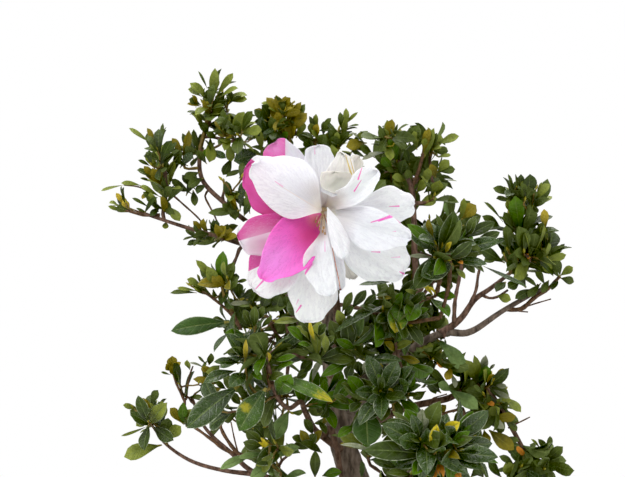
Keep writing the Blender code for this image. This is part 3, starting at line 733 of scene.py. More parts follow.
# Sprays of leaves, each with the depth of its wood in mm and its leaves, a finish before those that have it.
# A leaf is given by where its stalk is seen, how far right and down of that its tip is seen, how wide it is
# seen, and how far its tip stands towards the viewer in mm, where that isn't USUAL_STAND
USUAL_STAND = 3
SPRAYS = {
    "top_left": (8, [
        "mid", (213, 101, 2, -33, 9.5), (216, 97, 17, -24, 7), (219, 98, 19, -10, 9, 5),
        (225, 98, 22, -3, 9, 2), (209, 100, -19, -17, 8.5), (205, 130, -11, -16, 10, 6),
        (212, 120, 9, -17, 8, 4), (202, 97, -14, -8, 8), (205, 125, -14, -13, 8, 4), (224, 101, 23, -2, 9),
        "dark", (207, 88, -9, -17, 3, 0), (202, 112, -15, 0, 5, 4), (214, 118, 10, -11, 8),
        (208, 128, -10, -4, 7, 4), (201, 105, -12, -6, 7), (209, 135, -10, -12, 9, 4),
        "olive", (203, 107, -16, -3, 5, 4), (196, 108, -4, -13, 6, 4), (210, 118, -7, -19, 8, 4),
    ]),
    "top_left_right": (8, [
        "mid", (228, 135, 2, -22, 8), (255, 139, -20, -22, 11, 5), (222, 132, -2, -15, 7),
        (246, 150, -8, -16, 9, 4), "dark", (232, 135, 8, -22, 8), (246, 120, 6, -6, 3, 2),
        (236, 141, -10, -13, 9, 4), (218, 140, -12, -7, 7, 4), (243, 170, -17, 7, 7),
        (207, 164, -9, -14, 8, 6), "pale", (226, 142, 16, -1, 6, 6), "bright", (214, 150, -11, 6, 8, 4),
        "greyed", (206, 150, 20, 8, 8, 4), (259, 155, -25, 6, 17, 6), "deep", (232, 157, -9, 18, 9, 2),
        (228, 150, 12, 2, 7), (212, 158, -7, -18, 9, 5), "olive", (222, 129, -8, -7, 7, 5),
    ]),
    "left_pair": (4, [
        "dark", (161, 150, 2, -27, 4, 0), (155, 178, -18, -8, 8, 5), (150, 166, -12, -6, 4),
        (152, 182, -12, -4, 3, 2), (172, 178, 9, -28, 8, 2), (184, 162, -13, -13, 8),
        (194, 160, -8, -14, 7, 2), "mid", (151, 143, -22, -15, 6), (161, 182, 6, -40, 13, 5),
        (158, 170, -12, -18, 9, 4), (166, 188, -6, -28, 8, 5), (170, 185, 4, -25, 7, 4),
        (160, 160, -8, -20, 8), "olive", (157, 147, -10, -19, 6, 2), (165, 192, -13, -24, 11, 8),
        (158, 186, -14, -20, 8), (183, 158, 6, -28, 8, 2), (184, 157, -12, -19, 7, 2),
        "greyed", (180, 168, 12, -16, 8), "deep", (188, 166, -16, -4, 8),
    ]),
    "left_tip": (-4, [
        "mid", (142, 186, -21, -3, 5, 2), (124, 185, -23, 6, 4), (119, 206, -10, -3, 6),
        (126, 212, -18, -6, 4), (156, 210, -6, -18, 8, 4), (167, 205, 13, 16, 9), (160, 197, -20, -11, 8, 4),
        "ochre", (126, 206, -10, -13, 5, 2), (130, 210, -7, -10, 7), "dark", (148, 214, -12, -6, 3, 2),
        (150, 208, -18, -10, 4), (155, 205, -12, -13, 7, 4), (165, 203, 7, 13, 7), (158, 205, -12, -8, 6, 4),
        (164, 200, 7, -14, 8, 4), "deep", (160, 208, -10, 8, 6), (164, 210, -14, -7, 6, 5),
        "olive", (167, 214, -7, -18, 9, 6), (150, 189, -8, 10, 5, 4),
    ]),
    "left_inner": (4, [
        "deep", (196, 190, -14, -15, 7, 2), (186, 196, 10, -20, 9), (206, 184, -9, 10, 8, 6),
        "dark", (192, 194, -21, -15, 7), (193, 190, 2, 16, 7), (196, 186, -6, -14, 7),
        (204, 178, -16, 9, 9, 6), (200, 172, -16, 6, 8, 5), "olive", (185, 192, -9, -6, 7),
    ]),
    "left_by_bloom": (-8, [
        "deep", (233, 205, -7, -24, 8.5), (244, 216, 8, -16, 7), "greyed", (240, 212, 3, -31, 7),
        "dark", (241, 210, -33, 3, 8, 2), (250, 214, -4, -18, 6, 4), (232, 214, -10, -10, 7),
        "olive", (236, 212, -8, -16, 6, 4), "ochre", (238, 208, -6, -10, 4, 5),
    ]),
    "left_under": (0, [
        "mid", (166, 221, -1, 8, 6, 2), "deep", (204, 241, -17, 4, 7), (212, 238, 5, -18, 9),
        "olive", (204, 236, -11, -15, 7, 2), (208, 236, -6, -17, 9), (216, 238, 17, -8, 9),
        (214, 241, 12, -15, 10, 9), (229, 241, -18, -12, 9, 10), (221, 242, 17, -6, 8, 10),
        "dark", (205, 238, 11, -3, 9, 4), (222, 234, 6, -10, 6), (206, 240, -9, -10, 8, 9),
    ]),
    "top_dark": (10, [
        "olive", (280, 128, -13, -30, 8, 4), (283, 124, -7, -29, 9, 4), (287, 124, 3, -23, 8, 4),
        (290, 128, 11, -26, 8, 4), (290, 134, 17, -21, 11, 5), (284, 134, -8, -22, 10, 6),
        (292, 140, 4, -14, 8, 4), "dark", (291, 130, 14, -26, 8), (256, 116, -8, -1, 3, 2),
        (276, 136, -6, -19, 9, 6), "deep", (272, 128, -18, -18, 8, 2), (272, 140, -10, -20, 8, 5),
        (270, 150, 15, -4, 10), (272, 148, 2, -16, 10), "greyed", (287, 127, -24, 7, 5, 6),
        (262, 146, -2, -31, 10, 5), "bright", (280, 142, 8, -10, 7, 4), "mid", (262, 152, -6, -22, 8, 4),
        (296, 138, 8, -16, 8), "ochre", (284, 118, 0, -14, 6, 5),
    ]),
    "top_middle": (15, [
        "mid", (317, 132, -1, -18, 6), (322, 144, -11, -14, 7, 4), (344, 132, 2, -24, 6),
        (346, 124, 12, -12, 3.5), (343, 140, 2, -22, 7, 5), (352, 142, 16, -11, 6),
        (314, 137, -4, -14, 8, 4), (362, 151, -12, -9, 8, 4), "dark", (316, 131, -7, -15, 5),
        (321, 130, 10, -12, 5), (318, 131, 13, -2, 4), (310, 146, -12, -14, 8), (320, 150, 5, -16, 11, 5),
        (330, 152, 6, -16, 9, 4), (342, 132, -2, -20, 6), (347, 127, 12, -2, 3), (340, 135, -9, -8, 3),
        (338, 142, -8, -12, 6, 4), (334, 148, -12, -8, 8), (371, 144, 17, 2, 5), (360, 141, -13, -2, 3, 2),
        (323, 136, 3, -15, 7, 4), (366, 158, -15, -7, 8, 4), (375, 158, -15, -12, 9, 4),
        "ochre", (316, 138, 2, -14, 8, 5), "deep", (314, 148, -10, -8, 9), (352, 152, -10, 8, 9),
        "pale", (365, 144, -15, -12, 4), (388, 152, -26, 8, 7, 4), "olive", (367, 143, -21, 4, 11, 5),
    ]),
    "top_right": (8, [
        "mid", (392, 146, -5, -26, 8), (417, 150, -3, -19, 8, 4), (424, 158, 10, -30, 8, 4),
        (436, 144, 23, -8, 8.5), (424, 150, 1, -12, 6, 4), (436, 157, 15, -2, 4, 2), (432, 148, 9, 0, 7),
        (437, 173, 12, -13, 9), (425, 186, 3, -18, 9, 4), (416, 193, 12, -13, 9, 5),
        (405, 180, -13, -3, 9, 4), (404, 186, -11, -4, 8), (417, 206, 20, -8, 11, 4),
        "dark", (391, 142, -10, -14, 6), (396, 142, 2, -18, 5), (392, 160, -13, -33, 7),
        (401, 150, 11, -24, 5, 2), (414, 145, 4, -20, 10, 4), (428, 152, 9, -19, 7),
        (438, 172, 17, -3, 8, 4), (412, 183, -6, -13, 8), (424, 193, 12, -9, 8), (396, 172, -10, -4, 8),
        "bright", (397, 163, -8, -27, 12, 6), (393, 170, -11, -13, 9, 5), "olive", (423, 156, 6, -28, 8, 4),
        (436, 178, -6, -14, 8), "deep", (400, 178, 4, -18, 10), (410, 165, -6, -15, 9),
        "pale", (444, 180, 13, 1, 2, 2),
    ]),
    "right_neck": (4, [
        "dark", (452, 222, -1, -27, 8), (456, 214, 14, -13, 8), (462, 226, 18, -8, 9),
        (500, 227, -18, -11, 9), "teal", (448, 218, -2, -17, 8), "mid", (459, 222, 5, -24, 9),
        "olive", (461, 220, 15, -15, 14, 4), "deep", (504, 231, -15, -8, 8),
    ]),
    "right_top": (-8, [
        "dark", (513, 196, -20, -8, 8), (503, 222, -19, -20, 6), (514, 192, -6, -18, 3, 2),
        (532, 208, 17, -10, 7), (515, 200, -9, -3, 9), (514, 235, -10, -23, 9), (526, 200, -8, -12, 8),
        (530, 204, 5, -14, 8), (535, 240, 8, -18, 8), (540, 268, -10, -18, 9), (545, 285, -10, -13, 8),
        (560, 277, -3, -16, 8), (560, 278, 14, 4, 8), (499, 257, -15, 5, 9, 4), (541, 283, -13, 14, 8),
        (549, 280, -7, 13, 7), "deep", (519, 196, 2, -22, 9), (528, 196, 2, -22, 14, 4),
        (520, 275, -14, -13, 8), (530, 252, 10, -16, 9), (530, 262, -13, -16, 9), (526, 288, -11, -18, 9),
        (516, 252, -16, -8, 9), (559, 276, -11, -12, 8, 2), (558, 280, -6, 10, 8), (506, 282, -10, 10, 10),
        (520, 282, -12, 6, 10), (522, 240, 12, -12, 8), (505, 263, -24, -14, 11, 4), (531, 289, -16, 10, 9),
        "mid", (524, 194, 0, -14, 8), (536, 196, 6, -14, 3, 2), (534, 201, 16, -17, 9, 4),
        (523, 216, 11, -11, 6, 6), (512, 215, -5, -15, 8), (541, 247, 8, 27, 10, 6), (548, 240, -7, -14, 7),
        (497, 296, 14, 4, 9), (560, 276, 13, -9, 8), "bright", (521, 233, -6, -37, 15, 9),
        "ochre", (545, 232, -1, -23, 8), "pale", (549, 272, -23, -1, 3), "dead", (514, 259, 17, -2, 8, 4),
    ]),
    "rosette_right": (-56, [
        "bright", (436, 248, -29, -24, 11), "dark", (448, 246, -12, -32, 6, 1), (467, 240, 9, -24, 10, 1),
        (455, 256, 29, 16, 9, 4), (461, 262, 14, 11, 9, 0), "deep", (462, 238, 33, -16, 11, 1),
        (470, 246, 30, -14, 10, -2), (450, 262, -4, 12, 8, 0), "olive", (434, 238, -6, -19, 9, 2),
        (441, 262, -3, -6, 5, 10), "greyed", (449, 250, 9, -34, 13, 8), (435, 252, -25, -17, 8, 4),
        (452, 252, 47, -12, 13, 8), (452, 259, 35, 5, 9, 8), (483, 266, 44, 21, 4.5, 6),
        (453, 264, -32, 12, 21, 11), "pale", (434, 258, -25, -2, 4.5, 4), "mid", (456, 268, 9, 11, 6, 4),
        "yellow", (445, 254, 1, -13, 6, 12), "ochre", (443, 252, -3, -14, 4, 6),
        "dead", (458, 262, 5, 2, 5, 11),
    ]),
    "under_petals": (-45, [
        "turning", (402, 298, -7, 35, 20, 9), "bright", (418, 300, -10, 21, 17, 9),
        (430, 299, 19, 18, 15, 8), (435, 294, 21, 3, 9, 6), (356, 350, -20, -11, 9, 8),
        (350, 361, -29, 15, 10, 8), (367, 399, -19, -23, 15, 7), "mid", (421, 296, -16, -6, 5, 6),
        (345, 330, -8, -20, 10, 2), (392, 350, 20, -8, 9), "greyed", (391, 282, -32, 3, 6, 8),
        (388, 304, -54, 29, 12, 8), (360, 345, 35, -9, 15, 8), (363, 359, 39, 2, 11, 8),
        "dark", (396, 292, -20, 4, 7, 5), (428, 300, -16, -8, 9, 4), (352, 340, -2, -18, 9, 4),
        (358, 357, -18, -7, 9, 8), (342, 312, 10, -20, 8), (375, 306, -23, 12, 8, 2),
        (340, 350, -10, -30, 14), (314, 324, -14, -18, 14, 0), (296, 378, 12, -7, 9, 2),
        "olive", (376, 298, 16, 0, 5, 6), (396, 352, -12, -10, 9), (400, 356, 20, 6, 8),
        "yellow", (434, 297, -17, -18, 5, 9), (436, 296, -8, -12, 4, 10), "teal", (359, 338, 5, -22, 12, 4),
        "pale", (312, 382, 12, -22, 9, 12), (368, 376, -4, -14, 7, 4), "ochre", (357, 372, 0, -11, 6, 8),
        "deep", (352, 308, 14, -18, 9), (362, 306, 14, -12, 7), (384, 312, -24, -6, 10, 2),
        (380, 324, 14, -14, 10, 2), (350, 352, -5, -34, 16), (330, 345, -14, -21, 12),
        (302, 320, -14, -18, 14, 0), (344, 317, 10, -10, 9, 2), (346, 379, 6, -14, 10, 2),
        (361, 377, -3, -16, 9, 2), (300, 374, 13, -13, 11, 2),
    ]),
    "rosette_middle": (-50, [
        "bright", (390, 392, -13, -18, 8, 5), (399, 399, 19, 15, 12, 8), (356, 425, -18, 12, 10, 5),
        "greyed", (394, 392, 19, -26, 13, 8), (399, 393, 22, -8, 8, 7), (391, 395, -25, 6, 11, 8),
        "dark", (400, 396, 21, 0, 5, 5), (386, 400, -4, 21, 13, 5), (392, 398, 10, 20, 9, 4),
        (350, 404, -17, -8, 9, 4), (352, 392, -11, -8, 9, 4), "ochre", (395, 394, 1, -8, 4, 9),
        "fresh", (366, 404, 2, 42, 28, 2), "deep", (362, 402, -12, 10, 10, 4),
    ]),
    "rosette_low": (-78, [
        "dark", (422, 443, -30, -32, 8, 1), (444, 450, 29, -12, 11, 5), (412, 475, -26, -2, 9),
        "pale", (424, 435, -2, -26, 12, 4), (376, 454, -36, -9, 5, 10),
        "greyed", (424, 446, -30, -26, 12, 5), (429, 452, -47, -28, 20, 9), (446, 452, 52, 5, 17, 9),
        (434, 456, 34, 18, 10, 11), (448, 442, 10, -10, 8, 8), "deep", (430, 455, -66, -5, 19, 6),
        (398, 469, -25, -8, 10, 2), "bright", (441, 448, 29, -17, 11, 4), (443, 456, 55, 7, 12, 8),
        (427, 457, -14, 18, 13, 10), "olive", (440, 453, 20, 6, 10, 13),
        "yellow", (435, 453, 2, -29, 13, 11), (443, 434, 17, -12, 13, 7), "dead", (432, 460, -6, 17, 8, 5),
        (438, 460, 5, 18, 8, 6), (455, 468, 6, 10, 8, 4), (434, 464, 0, 16, 8, 7),
    ]),
    "single": (-40, [
        "fresh", (229, 322, -58, 9, 17, 4),
    ]),
    "front_left": (-62, [
        "greyed", (243, 358, -18, -24, 14, 8), (229, 333, -15, 19, 7, 5), (240, 363, -26, -1, 8, 8),
        (236, 371, -32, 12, 12, 9), (246, 373, -17, 14, 14, 10), (266, 352, -10, -13, 6, 6),
        (271, 350, 19, -13, 9, 7), "bright", (245, 335, -20, -2, 9, 4), (266, 355, -9, 21, 11, 9),
        (273, 361, 23, -5, 7, 6), (273, 370, 21, -7, 9, 6), (304, 343, -17, -16, 11, 6),
        (311, 346, -13, -2, 6, 6), (252, 372, 10, 8, 8, 4), "pale", (247, 357, 3, -22, 8, 5),
        "ochre", (245, 362, -1, -10, 5, 9), (267, 364, 0, -11, 5, 10), "dark", (254, 352, 8, -12, 5, 5),
        (261, 328, 11, -12, 5, 4), (254, 328, 1, -22, 9, 4), (251, 326, -8, -16, 9), (258, 320, 6, -14, 8),
        (322, 346, 12, -10, 7, 4), (254, 366, 8, -14, 8, 4), (268, 380, 16, -6, 9, 5),
        (310, 332, -10, -10, 9), (241, 405, -12, -12, 9, 2), (226, 389, -11, -7, 7),
        "turning", (268, 374, 65, 28, 15, 8), "yellow", (315, 341, -1, -14, 5, 8),
        "mid", (301, 321, -27, 2, 8, 5), (325, 352, 1, -17, 8, 4), "deep", (318, 336, 8, -12, 9),
    ]),
    "mid_left": (-18, [
        "bright", (222, 284, 1, -33, 12), "dark", (224, 284, 10, -22, 11, 4), (226, 292, 12, -15, 12, 4),
        (197, 293, -27, 0, 5, 2), (236, 282, 11, -2, 4), (262, 312, 24, -6, 11), (246, 300, 16, -4, 10),
        "mid", (216, 284, -20, -24, 7), (218, 288, -11, -22, 11), (205, 289, -18, -10, 8),
        (200, 284, -3, -10, 3, 2), (198, 291, -21, -3, 4, 2), (203, 294, -10, -8, 9),
        "deep", (238, 300, 1, -17, 9), (250, 306, 8, -16, 11), (262, 308, 6, -14, 12),
        (276, 312, 4, -16, 13), (288, 314, -2, -18, 12, 2), "pale", (254, 302, -24, 2, 5, 5),
        "olive", (226, 288, -14, -12, 10),
    ]),
    "low_left": (-10, [
        "olive", (172, 372, 0, -16, 10), (172, 371, -6, -7, 8), (174, 372, 7, -10, 7),
        (214, 373, -12, -7, 9, 4), (220, 385, -27, -6, 7, 4), (222, 388, -17, 6, 8, 4),
        (183, 424, -13, -16, 9, 4), (176, 376, -6, -10, 7, 4), "dark", (171, 375, -10, -3, 2.5, 2),
        (209, 365, 2, -12, 7), (207, 365, -9, -9, 2.5, 2), (188, 397, 15, 0, 4.5), (186, 427, 4, -12, 7, 4),
        "mid", (190, 370, -3, -10, 6), (222, 374, -16, -2, 10, 4), (185, 424, 7, -15, 9),
        "pale", (206, 369, -17, -6, 5, 4), "bright", (184, 425, -1, -23, 9, 4),
    ]),
    "low_left_tip": (-10, [
        "dark", (151, 405, 7, -15, 8.5), (164, 438, 4, -20, 11), "olive", (154, 419, -17, -21, 11, 5),
        "mid", (140, 409, -17, -4, 6), (160, 424, 2, -23, 12, 4), (149, 422, -13, 4, 8, 4),
        (148, 426, -27, 10, 3), (166, 440, 15, -14, 12, 4), (162, 445, -38, 12, 15, 5),
        (157, 420, -9, -18, 9, 4), "greyed", (158, 428, 6, -18, 8),
    ]),
    "front_low_left": (-66, [
        "greyed", (239, 386, -52, 42, 23, 7), "spotted", (266, 388, -27, 43, 24, 8),
    ]),
    "bottom_left": (-25, [
        "teal", (289, 410, -16, 30, 14, 4), (275, 457, 25, -10, 10), (264, 453, -26, 5, 7),
        (254, 454, -34, 15, 9), (271, 465, -21, 13, 12, 5), (272, 464, 4, 14, 12, 5), (362, 478, -1, -17, 9),
        (300, 453, -15, -7, 10), (284, 478, 22, -5, 9, 4), "dark", (262, 442, -16, -12, 11, 4),
        (262, 446, -19, -4, 11), (305, 442, -13, -5, 8), (308, 444, 8, -10, 9), (315, 478, 0, -28, 10),
        (318, 420, 8, 14, 8, 2), (318, 414, 4, -14, 9), (322, 453, -22, -10, 11, 4), (313, 435, -9, -16, 9),
        "deep", (264, 438, -10, -12, 10), "olive", (310, 446, -10, -16, 9), (312, 446, 10, -16, 9),
        (322, 424, 12, -12, 8, 2), "bright", (322, 476, 20, -4, 10), "ochre", (361, 449, -21, -6, 5, 5),
    ]),
    "right_middle": (-8, [
        "teal", (436, 338, 28, 33, 15, 5), (447, 388, 31, 21, 14, 5), (453, 391, -15, -8, 9, 5),
        "mid", (420, 336, 12, 16, 9), "olive", (410, 340, 15, 10, 8), (426, 350, 14, 10, 9),
        "dark", (414, 330, -10, 15, 9), (426, 386, 10, 8, 8), (447, 383, -17, -12, 10, 4),
        (426, 391, -13, 8, 9, 4), "dead", (446, 367, -10, -6, 10, 4), "ochre", (452, 366, -6, 14, 8),
        "pale", (452, 374, 3, 14, 7), "deep", (424, 372, -12, 10, 8, 2), (430, 374, 10, 14, 8, 2),
        (441, 393, -14, -14, 11, 5),
    ]),
    "right_low": (0, [
        "mid", (480, 384, -6, -29, 8), (478, 386, -12, -26, 10, 5), (500, 396, 21, 16, 11, 4),
        (487, 404, 25, -4, 8, 4), (470, 412, 20, -8, 9), (480, 418, 20, -10, 11),
        "pale", (483, 371, 3, -16, 7.5), (489, 370, 6, -6, 3, 2), (493, 384, 14, 3, 5),
        (491, 388, 19, 10, 5, 4), (475, 410, 30, 19, 10, 4), "olive", (492, 382, 15, -12, 9, 4),
        (488, 420, 28, -4, 10), (489, 430, 25, 20, 14, 4), (484, 430, 3, 15, 9), (436, 416, 10, -11, 8),
        "bright", (480, 388, 7, -22, 12, 6), "ochre", (486, 388, 8, -14, 7, 5),
        "deep", (470, 384, -8, -16, 10), (476, 392, -12, -12, 10), "dead", (484, 400, 10, 6, 6, 5),
        "teal", (472, 410, -14, -12, 12), "dark", (505, 420, 12, 11, 7), (503, 437, 16, 4, 6),
        (476, 424, -10, -12, 10), (480, 424, -4, 16, 10),
    ]),
    "right_bottom": (0, [
        "mid", (541, 450, -10, -11, 3, 2), (512, 478, -6, -16, 12), (520, 478, -6, -14, 10),
        "dark", (549, 452, -11, -13, 6), (549, 450, 1, -14, 6, 2), (538, 464, -5, -12, 9),
        (515, 466, -16, -10, 7), (548, 470, -4, -12, 8, 2), (545, 462, -5, -12, 7), (470, 478, 15, -14, 12),
        "dead", (528, 459, -11, -13, 6, 4), (540, 478, -4, -10, 5, 5), "deep", (528, 468, -18, -18, 8),
        (502, 478, -14, -16, 11), (484, 478, -8, -12, 10), "bright", (536, 478, -4, -16, 11),
    ]),
}

# The leafless wood that is seen: depth in mm, radius in mm, bark, and its route as seen
# A sprig that starts clear of its bough, but within reach of it, grows from the bough's nearest point
SPRIG_GAP = 2 * MM
SPRIG_REACH = 28 * MM
SPRIG_STEP = 2 * MM
SPRIGS = [
    (8, 0.9, OCHRE, [(199, 152), (204, 133), (208, 116), (213, 98)]),
    (8, 0.6, OCHRE, [(199, 152), (214, 148), (226, 140), (231, 130)]),
    (4, 0.9, OCHRE, [(166, 194), (163, 175), (161, 150)]),
    (4, 0.7, OCHRE, [(185, 168), (184, 155), (184, 146)]),
    (-4, 0.8, YOUNG, [(160, 215), (143, 215), (129, 211), (117, 207)]),
    (2, 0.45, YOUNG, [(205, 196), (210, 207), (216, 219), (219, 234)]),
    (2, 0.45, YOUNG, [(171, 194), (184, 205), (200, 220), (205, 231)]),
    (8, 1.0, YOUNG, [(410, 190), (418, 173), (422, 158), (424, 148)]),
    (8, 0.8, YOUNG, [(411, 186), (405, 174), (400, 160)]),
    (15, 0.8, OCHRE, [(340, 146), (342, 134), (344, 122)]),
    (10, 0.9, OCHRE, [(290, 146), (288, 134), (285, 120)]),
    (15, 0.7, OCHRE, [(316, 146), (317, 136), (317, 128)]),
    (-18, 0.8, YOUNG, [(241, 330), (229, 312), (207, 294), (196, 290)]),
    (-18, 0.8, OCHRE, [(232, 312), (224, 296), (221, 280)]),
    (-60, 0.9, OCHRE, [(258, 345), (255, 328), (254, 308)]),
    (-60, 0.7, OCHRE, [(258, 394), (249, 384), (246, 372), (245, 360)]),
    (-60, 0.8, YOUNG, [(270, 388), (268, 374), (267, 358)]),
    (-10, 0.6, YOUNG, [(185, 402), (175, 380), (172, 366)]),
    (-10, 0.5, YOUNG, [(186, 400), (189, 378), (193, 366)]),
    (-12, 0.8, YOUNG, [
        (252, 458), (238, 454), (225, 450), (212, 440), (200, 431), (190, 424), (185, 414), (185, 398),
    ]),
    (-10, 0.8, OCHRE, [(167, 445), (160, 430), (152, 422)]),
    (-14, 0.9, YOUNG, [(250, 458), (238, 453), (228, 441), (221, 428), (219, 414)]),
    (-14, 0.4, YOUNG, [(238, 453), (234, 437), (231, 422)]),
    (-28, 0.8, OCHRE, [(281, 474), (274, 467), (269, 459), (270, 446)]),
    (-12, 1.5, OLD, [(330, 428), (337, 450), (341, 476)]),
    (-8, 0.8, OLD, [(470, 304), (476, 290), (478, 276), (481, 264)]),
    (-10, 1.0, OLD, [(454, 322), (455, 301), (459, 280), (462, 264)]),
    (-6, 0.7, OLD, [(482, 295), (489, 298), (497, 297), (508, 290)]),
    (-4, 0.6, OLD, [(511, 306), (522, 299), (532, 294), (538, 284)]),
    (-4, 1.1, YOUNG, [(506, 309), (521, 309), (534, 298), (549, 288), (560, 276)]),
    (-50, 1.0, YOUNG, [(447, 252), (450, 266), (448, 290), (440, 318)]),
    (-4, 0.4, YOUNG, [(519, 309), (534, 304), (551, 299)]),
    (-4, 0.4, YOUNG, [(506, 309), (517, 311), (528, 312)]),
    (-4, 0.45, YOUNG, [(158, 212), (152, 198), (142, 188), (124, 185)]),
    (-10, 0.8, YOUNG, [(424, 416), (436, 417), (448, 412), (462, 409)]),
    (-10, 0.4, YOUNG, [(429, 414), (431, 400), (447, 394)]),
    (0, 1.0, YOUNG, [(468, 420), (476, 402), (481, 390), (483, 376)]),
    (0, 0.4, YOUNG, [(508, 428), (518, 423), (530, 417)]),
    (-54, 0.7, OCHRE, [(394, 412), (395, 402), (395, 392)]),
    (-8, 1.0, OCHRE, [(516, 262), (519, 238), (520, 214)]),
    (-45, 0.9, YOUNG, [(402, 322), (420, 302), (436, 296)]),
]

# Where daylight is seen between the leaves: the middle, half width and half height of each gap as seen
GAPS = [
    (182, 174, 14, 8), (199, 100, 4, 5), (203, 169, 4, 7), (216, 178, 5, 16), (212, 197, 13, 8),
    (235, 183, 8, 7), (232, 169, 4, 3), (133, 193, 8, 5), (138, 204, 8, 4), (145, 212, 7, 4),
    (158, 200, 3, 5), (187, 197, 4, 4), (175, 196, 4, 3), (186, 214, 16, 8), (209, 141, 3, 3),
    (216, 147, 3, 3), (244, 139, 3, 5), (307, 124, 4, 4), (297, 142, 6, 5), (325, 132, 3, 2),
    (425, 198, 5, 4), (437, 209, 6, 10), (422, 216, 6, 8), (425, 252, 6, 4), (423, 260, 5, 5),
    (474, 212, 7, 3), (496, 221, 3, 3), (505, 231, 4, 3), (495, 235, 4, 2), (499, 264, 9, 5),
    (543, 208, 7, 4), (538, 275, 3, 4), (468, 277, 7, 8), (487, 279, 7, 9), (412, 178, 2, 3),
    (418, 150, 2, 5), (429, 157, 3, 5), (383, 155, 4, 3), (407, 140, 4, 3), (206, 285, 3, 3),
    (229, 292, 3, 6), (245, 286, 4, 4), (232, 315, 3, 5), (272, 312, 10, 4), (262, 320, 3, 3),
    (248, 331, 4, 5), (266, 330, 5, 3), (270, 340, 6, 6), (280, 335, 5, 3), (289, 352, 6, 2),
    (313, 351, 3, 3), (297, 367, 4, 4), (291, 373, 5, 2), (240, 345, 2, 3), (187, 371, 3, 4),
    (197, 376, 7, 5), (183, 382, 3, 7), (196, 390, 7, 5), (229, 369, 4, 2), (239, 371, 4, 3),
    (194, 403, 5, 4), (173, 417, 5, 3), (191, 443, 18, 13), (221, 437, 3, 5), (227, 426, 4, 8),
    (239, 440, 5, 10), (237, 407, 4, 14), (230, 459, 6, 4), (234, 466, 10, 5), (284, 398, 4, 6),
    (272, 412, 6, 4), (292, 428, 11, 16), (300, 409, 4, 3), (310, 412, 2, 4), (266, 443, 2, 5),
    (255, 451, 5, 2), (278, 458, 4, 3), (297, 464, 14, 8), (329, 459, 7, 11), (329, 447, 5, 3),
    (243, 470, 6, 6), (378, 440, 7, 5), (374, 380, 2, 6), (356, 397, 2, 2), (438, 288, 5, 3),
    (450, 307, 5, 9), (445, 321, 4, 4), (440, 371, 5, 3), (442, 383, 5, 5), (421, 391, 5, 4),
    (438, 401, 8, 7), (452, 404, 4, 6), (420, 402, 8, 5), (398, 409, 6, 3), (400, 419, 5, 3),
    (444, 418, 4, 2), (470, 425, 3, 3), (496, 395, 6, 2), (487, 439, 6, 6), (507, 455, 6, 6),
    (498, 462, 4, 3), (292, 355, 3, 2), (332, 353, 3, 3), (351, 291, 9, 8), (487, 313, 18, 16),
    (470, 282, 6, 10), (500, 296, 6, 3), (217, 255, 10, 6), (212, 206, 12, 10), (500, 350, 14, 20),
    (545, 320, 20, 30), (134, 152, 8, 14), (110, 215, 12, 8), (189, 272, 9, 8), (200, 306, 9, 8),
    (236, 262, 6, 11), (200, 250, 11, 5), (214, 337, 8, 9), (163, 378, 9, 13), (129, 421, 5, 7),
    (493, 184, 9, 12), (498, 206, 7, 8), (522, 384, 13, 20), (530, 413, 8, 10), (476, 351, 12, 5),
    (536, 430, 12, 11), (236, 107, 8, 4), (138, 168, 6, 10), (346, 457, 7, 11), (337, 409, 6, 6),
    (373, 117, 9, 9), (396, 111, 14, 8), (436, 116, 18, 10), (518, 166, 14, 8), (541, 175, 9, 7),
    (172, 398, 9, 8), (122, 412, 6, 12), (128, 395, 9, 6), (132, 228, 10, 9), (197, 258, 7, 6),
    (183, 300, 10, 6), (176, 280, 10, 5), (230, 247, 10, 7), (335, 121, 5, 6), (221, 355, 6, 4),
    (530, 441, 7, 5), (374, 165, 8, 4), (448, 130, 7, 5), (453, 147, 7, 5), (450, 178, 6, 3),
    (446, 165, 4, 3),
]

# ---------------------------------------------------------------- how the crown is filled

# Each group of masses: its share of blade finishes
GREENS = {
    "top": {"dark": 5, "mid": 4, "deep": 2, "olive": 1},
    "olive": {"olive": 4, "mid": 3, "dark": 2, "deep": 1},
    "left": {"dark": 4, "mid": 4, "deep": 3, "olive": 1},
    "inner": {"bright": 4, "deep": 3, "dark": 3, "mid": 1},
    "front": {"greyed": 5, "bright": 2, "deep": 2, "dark": 1},
    "right": {"deep": 4, "dark": 4, "mid": 2, "greyed": 1},
    "back": {"deep": 5, "dark": 4, "mid": 1},
}

# Foliage node: (greens, leaf length in mm, spacing of the shoots in mm)
MASSES = {
    "top_left": ("top", 10.5, 11.5),
    "left_shoulder": ("top", 10, 10),
    "top_dark": ("olive", 10, 9),
    "top_middle": ("top", 10, 12),
    "top_right": ("top", 11, 11),
    "top_far_right": ("top", 11, 13),
    "right_neck": ("right", 12, 12.5),
    "left_upper": ("left", 11, 11.5),
    "left_middle": ("left", 9, 10.5),
    "left_tip": ("left", 10, 14.5),
    "left_inner": ("left", 10, 11),
    "left_by_bloom": ("left", 11, 11.5),
    "left_under": ("left", 10, 11),
    "mid_left": ("left", 12, 14.5),
    "front_left": ("front", 14, 10),
    "front_low_left": ("front", 16, 10),
    "low_left": ("left", 12, 11.5),
    "low_left_tip": ("left", 13, 16),
    "bottom_left": ("left", 14, 10.5),
    "under_bloom": ("inner", 14, 8.5),
    "beside_bloom": ("inner", 16, 9),
    "front_middle": ("front", 15, 9),
    "front_middle_left": ("inner", 15, 9),
    "bottom_front": ("inner", 16, 9),
    "front_low_right": ("front", 17, 10),
    "skirt": ("inner", 15, 10),
    "right_middle": ("inner", 14, 8.5),
    "right_low": ("right", 13, 11),
    "right_bottom": ("right", 13, 11),
    "right_front": ("front", 17, 10),
    "right_top": ("right", 13, 10.5),
    "right_outer": ("back", 13, 9.5),
    "heart": ("back", 13, 9),
    "heart_low": ("inner", 14, 9),
}
BACK_MASS = ("back", 13, 10)
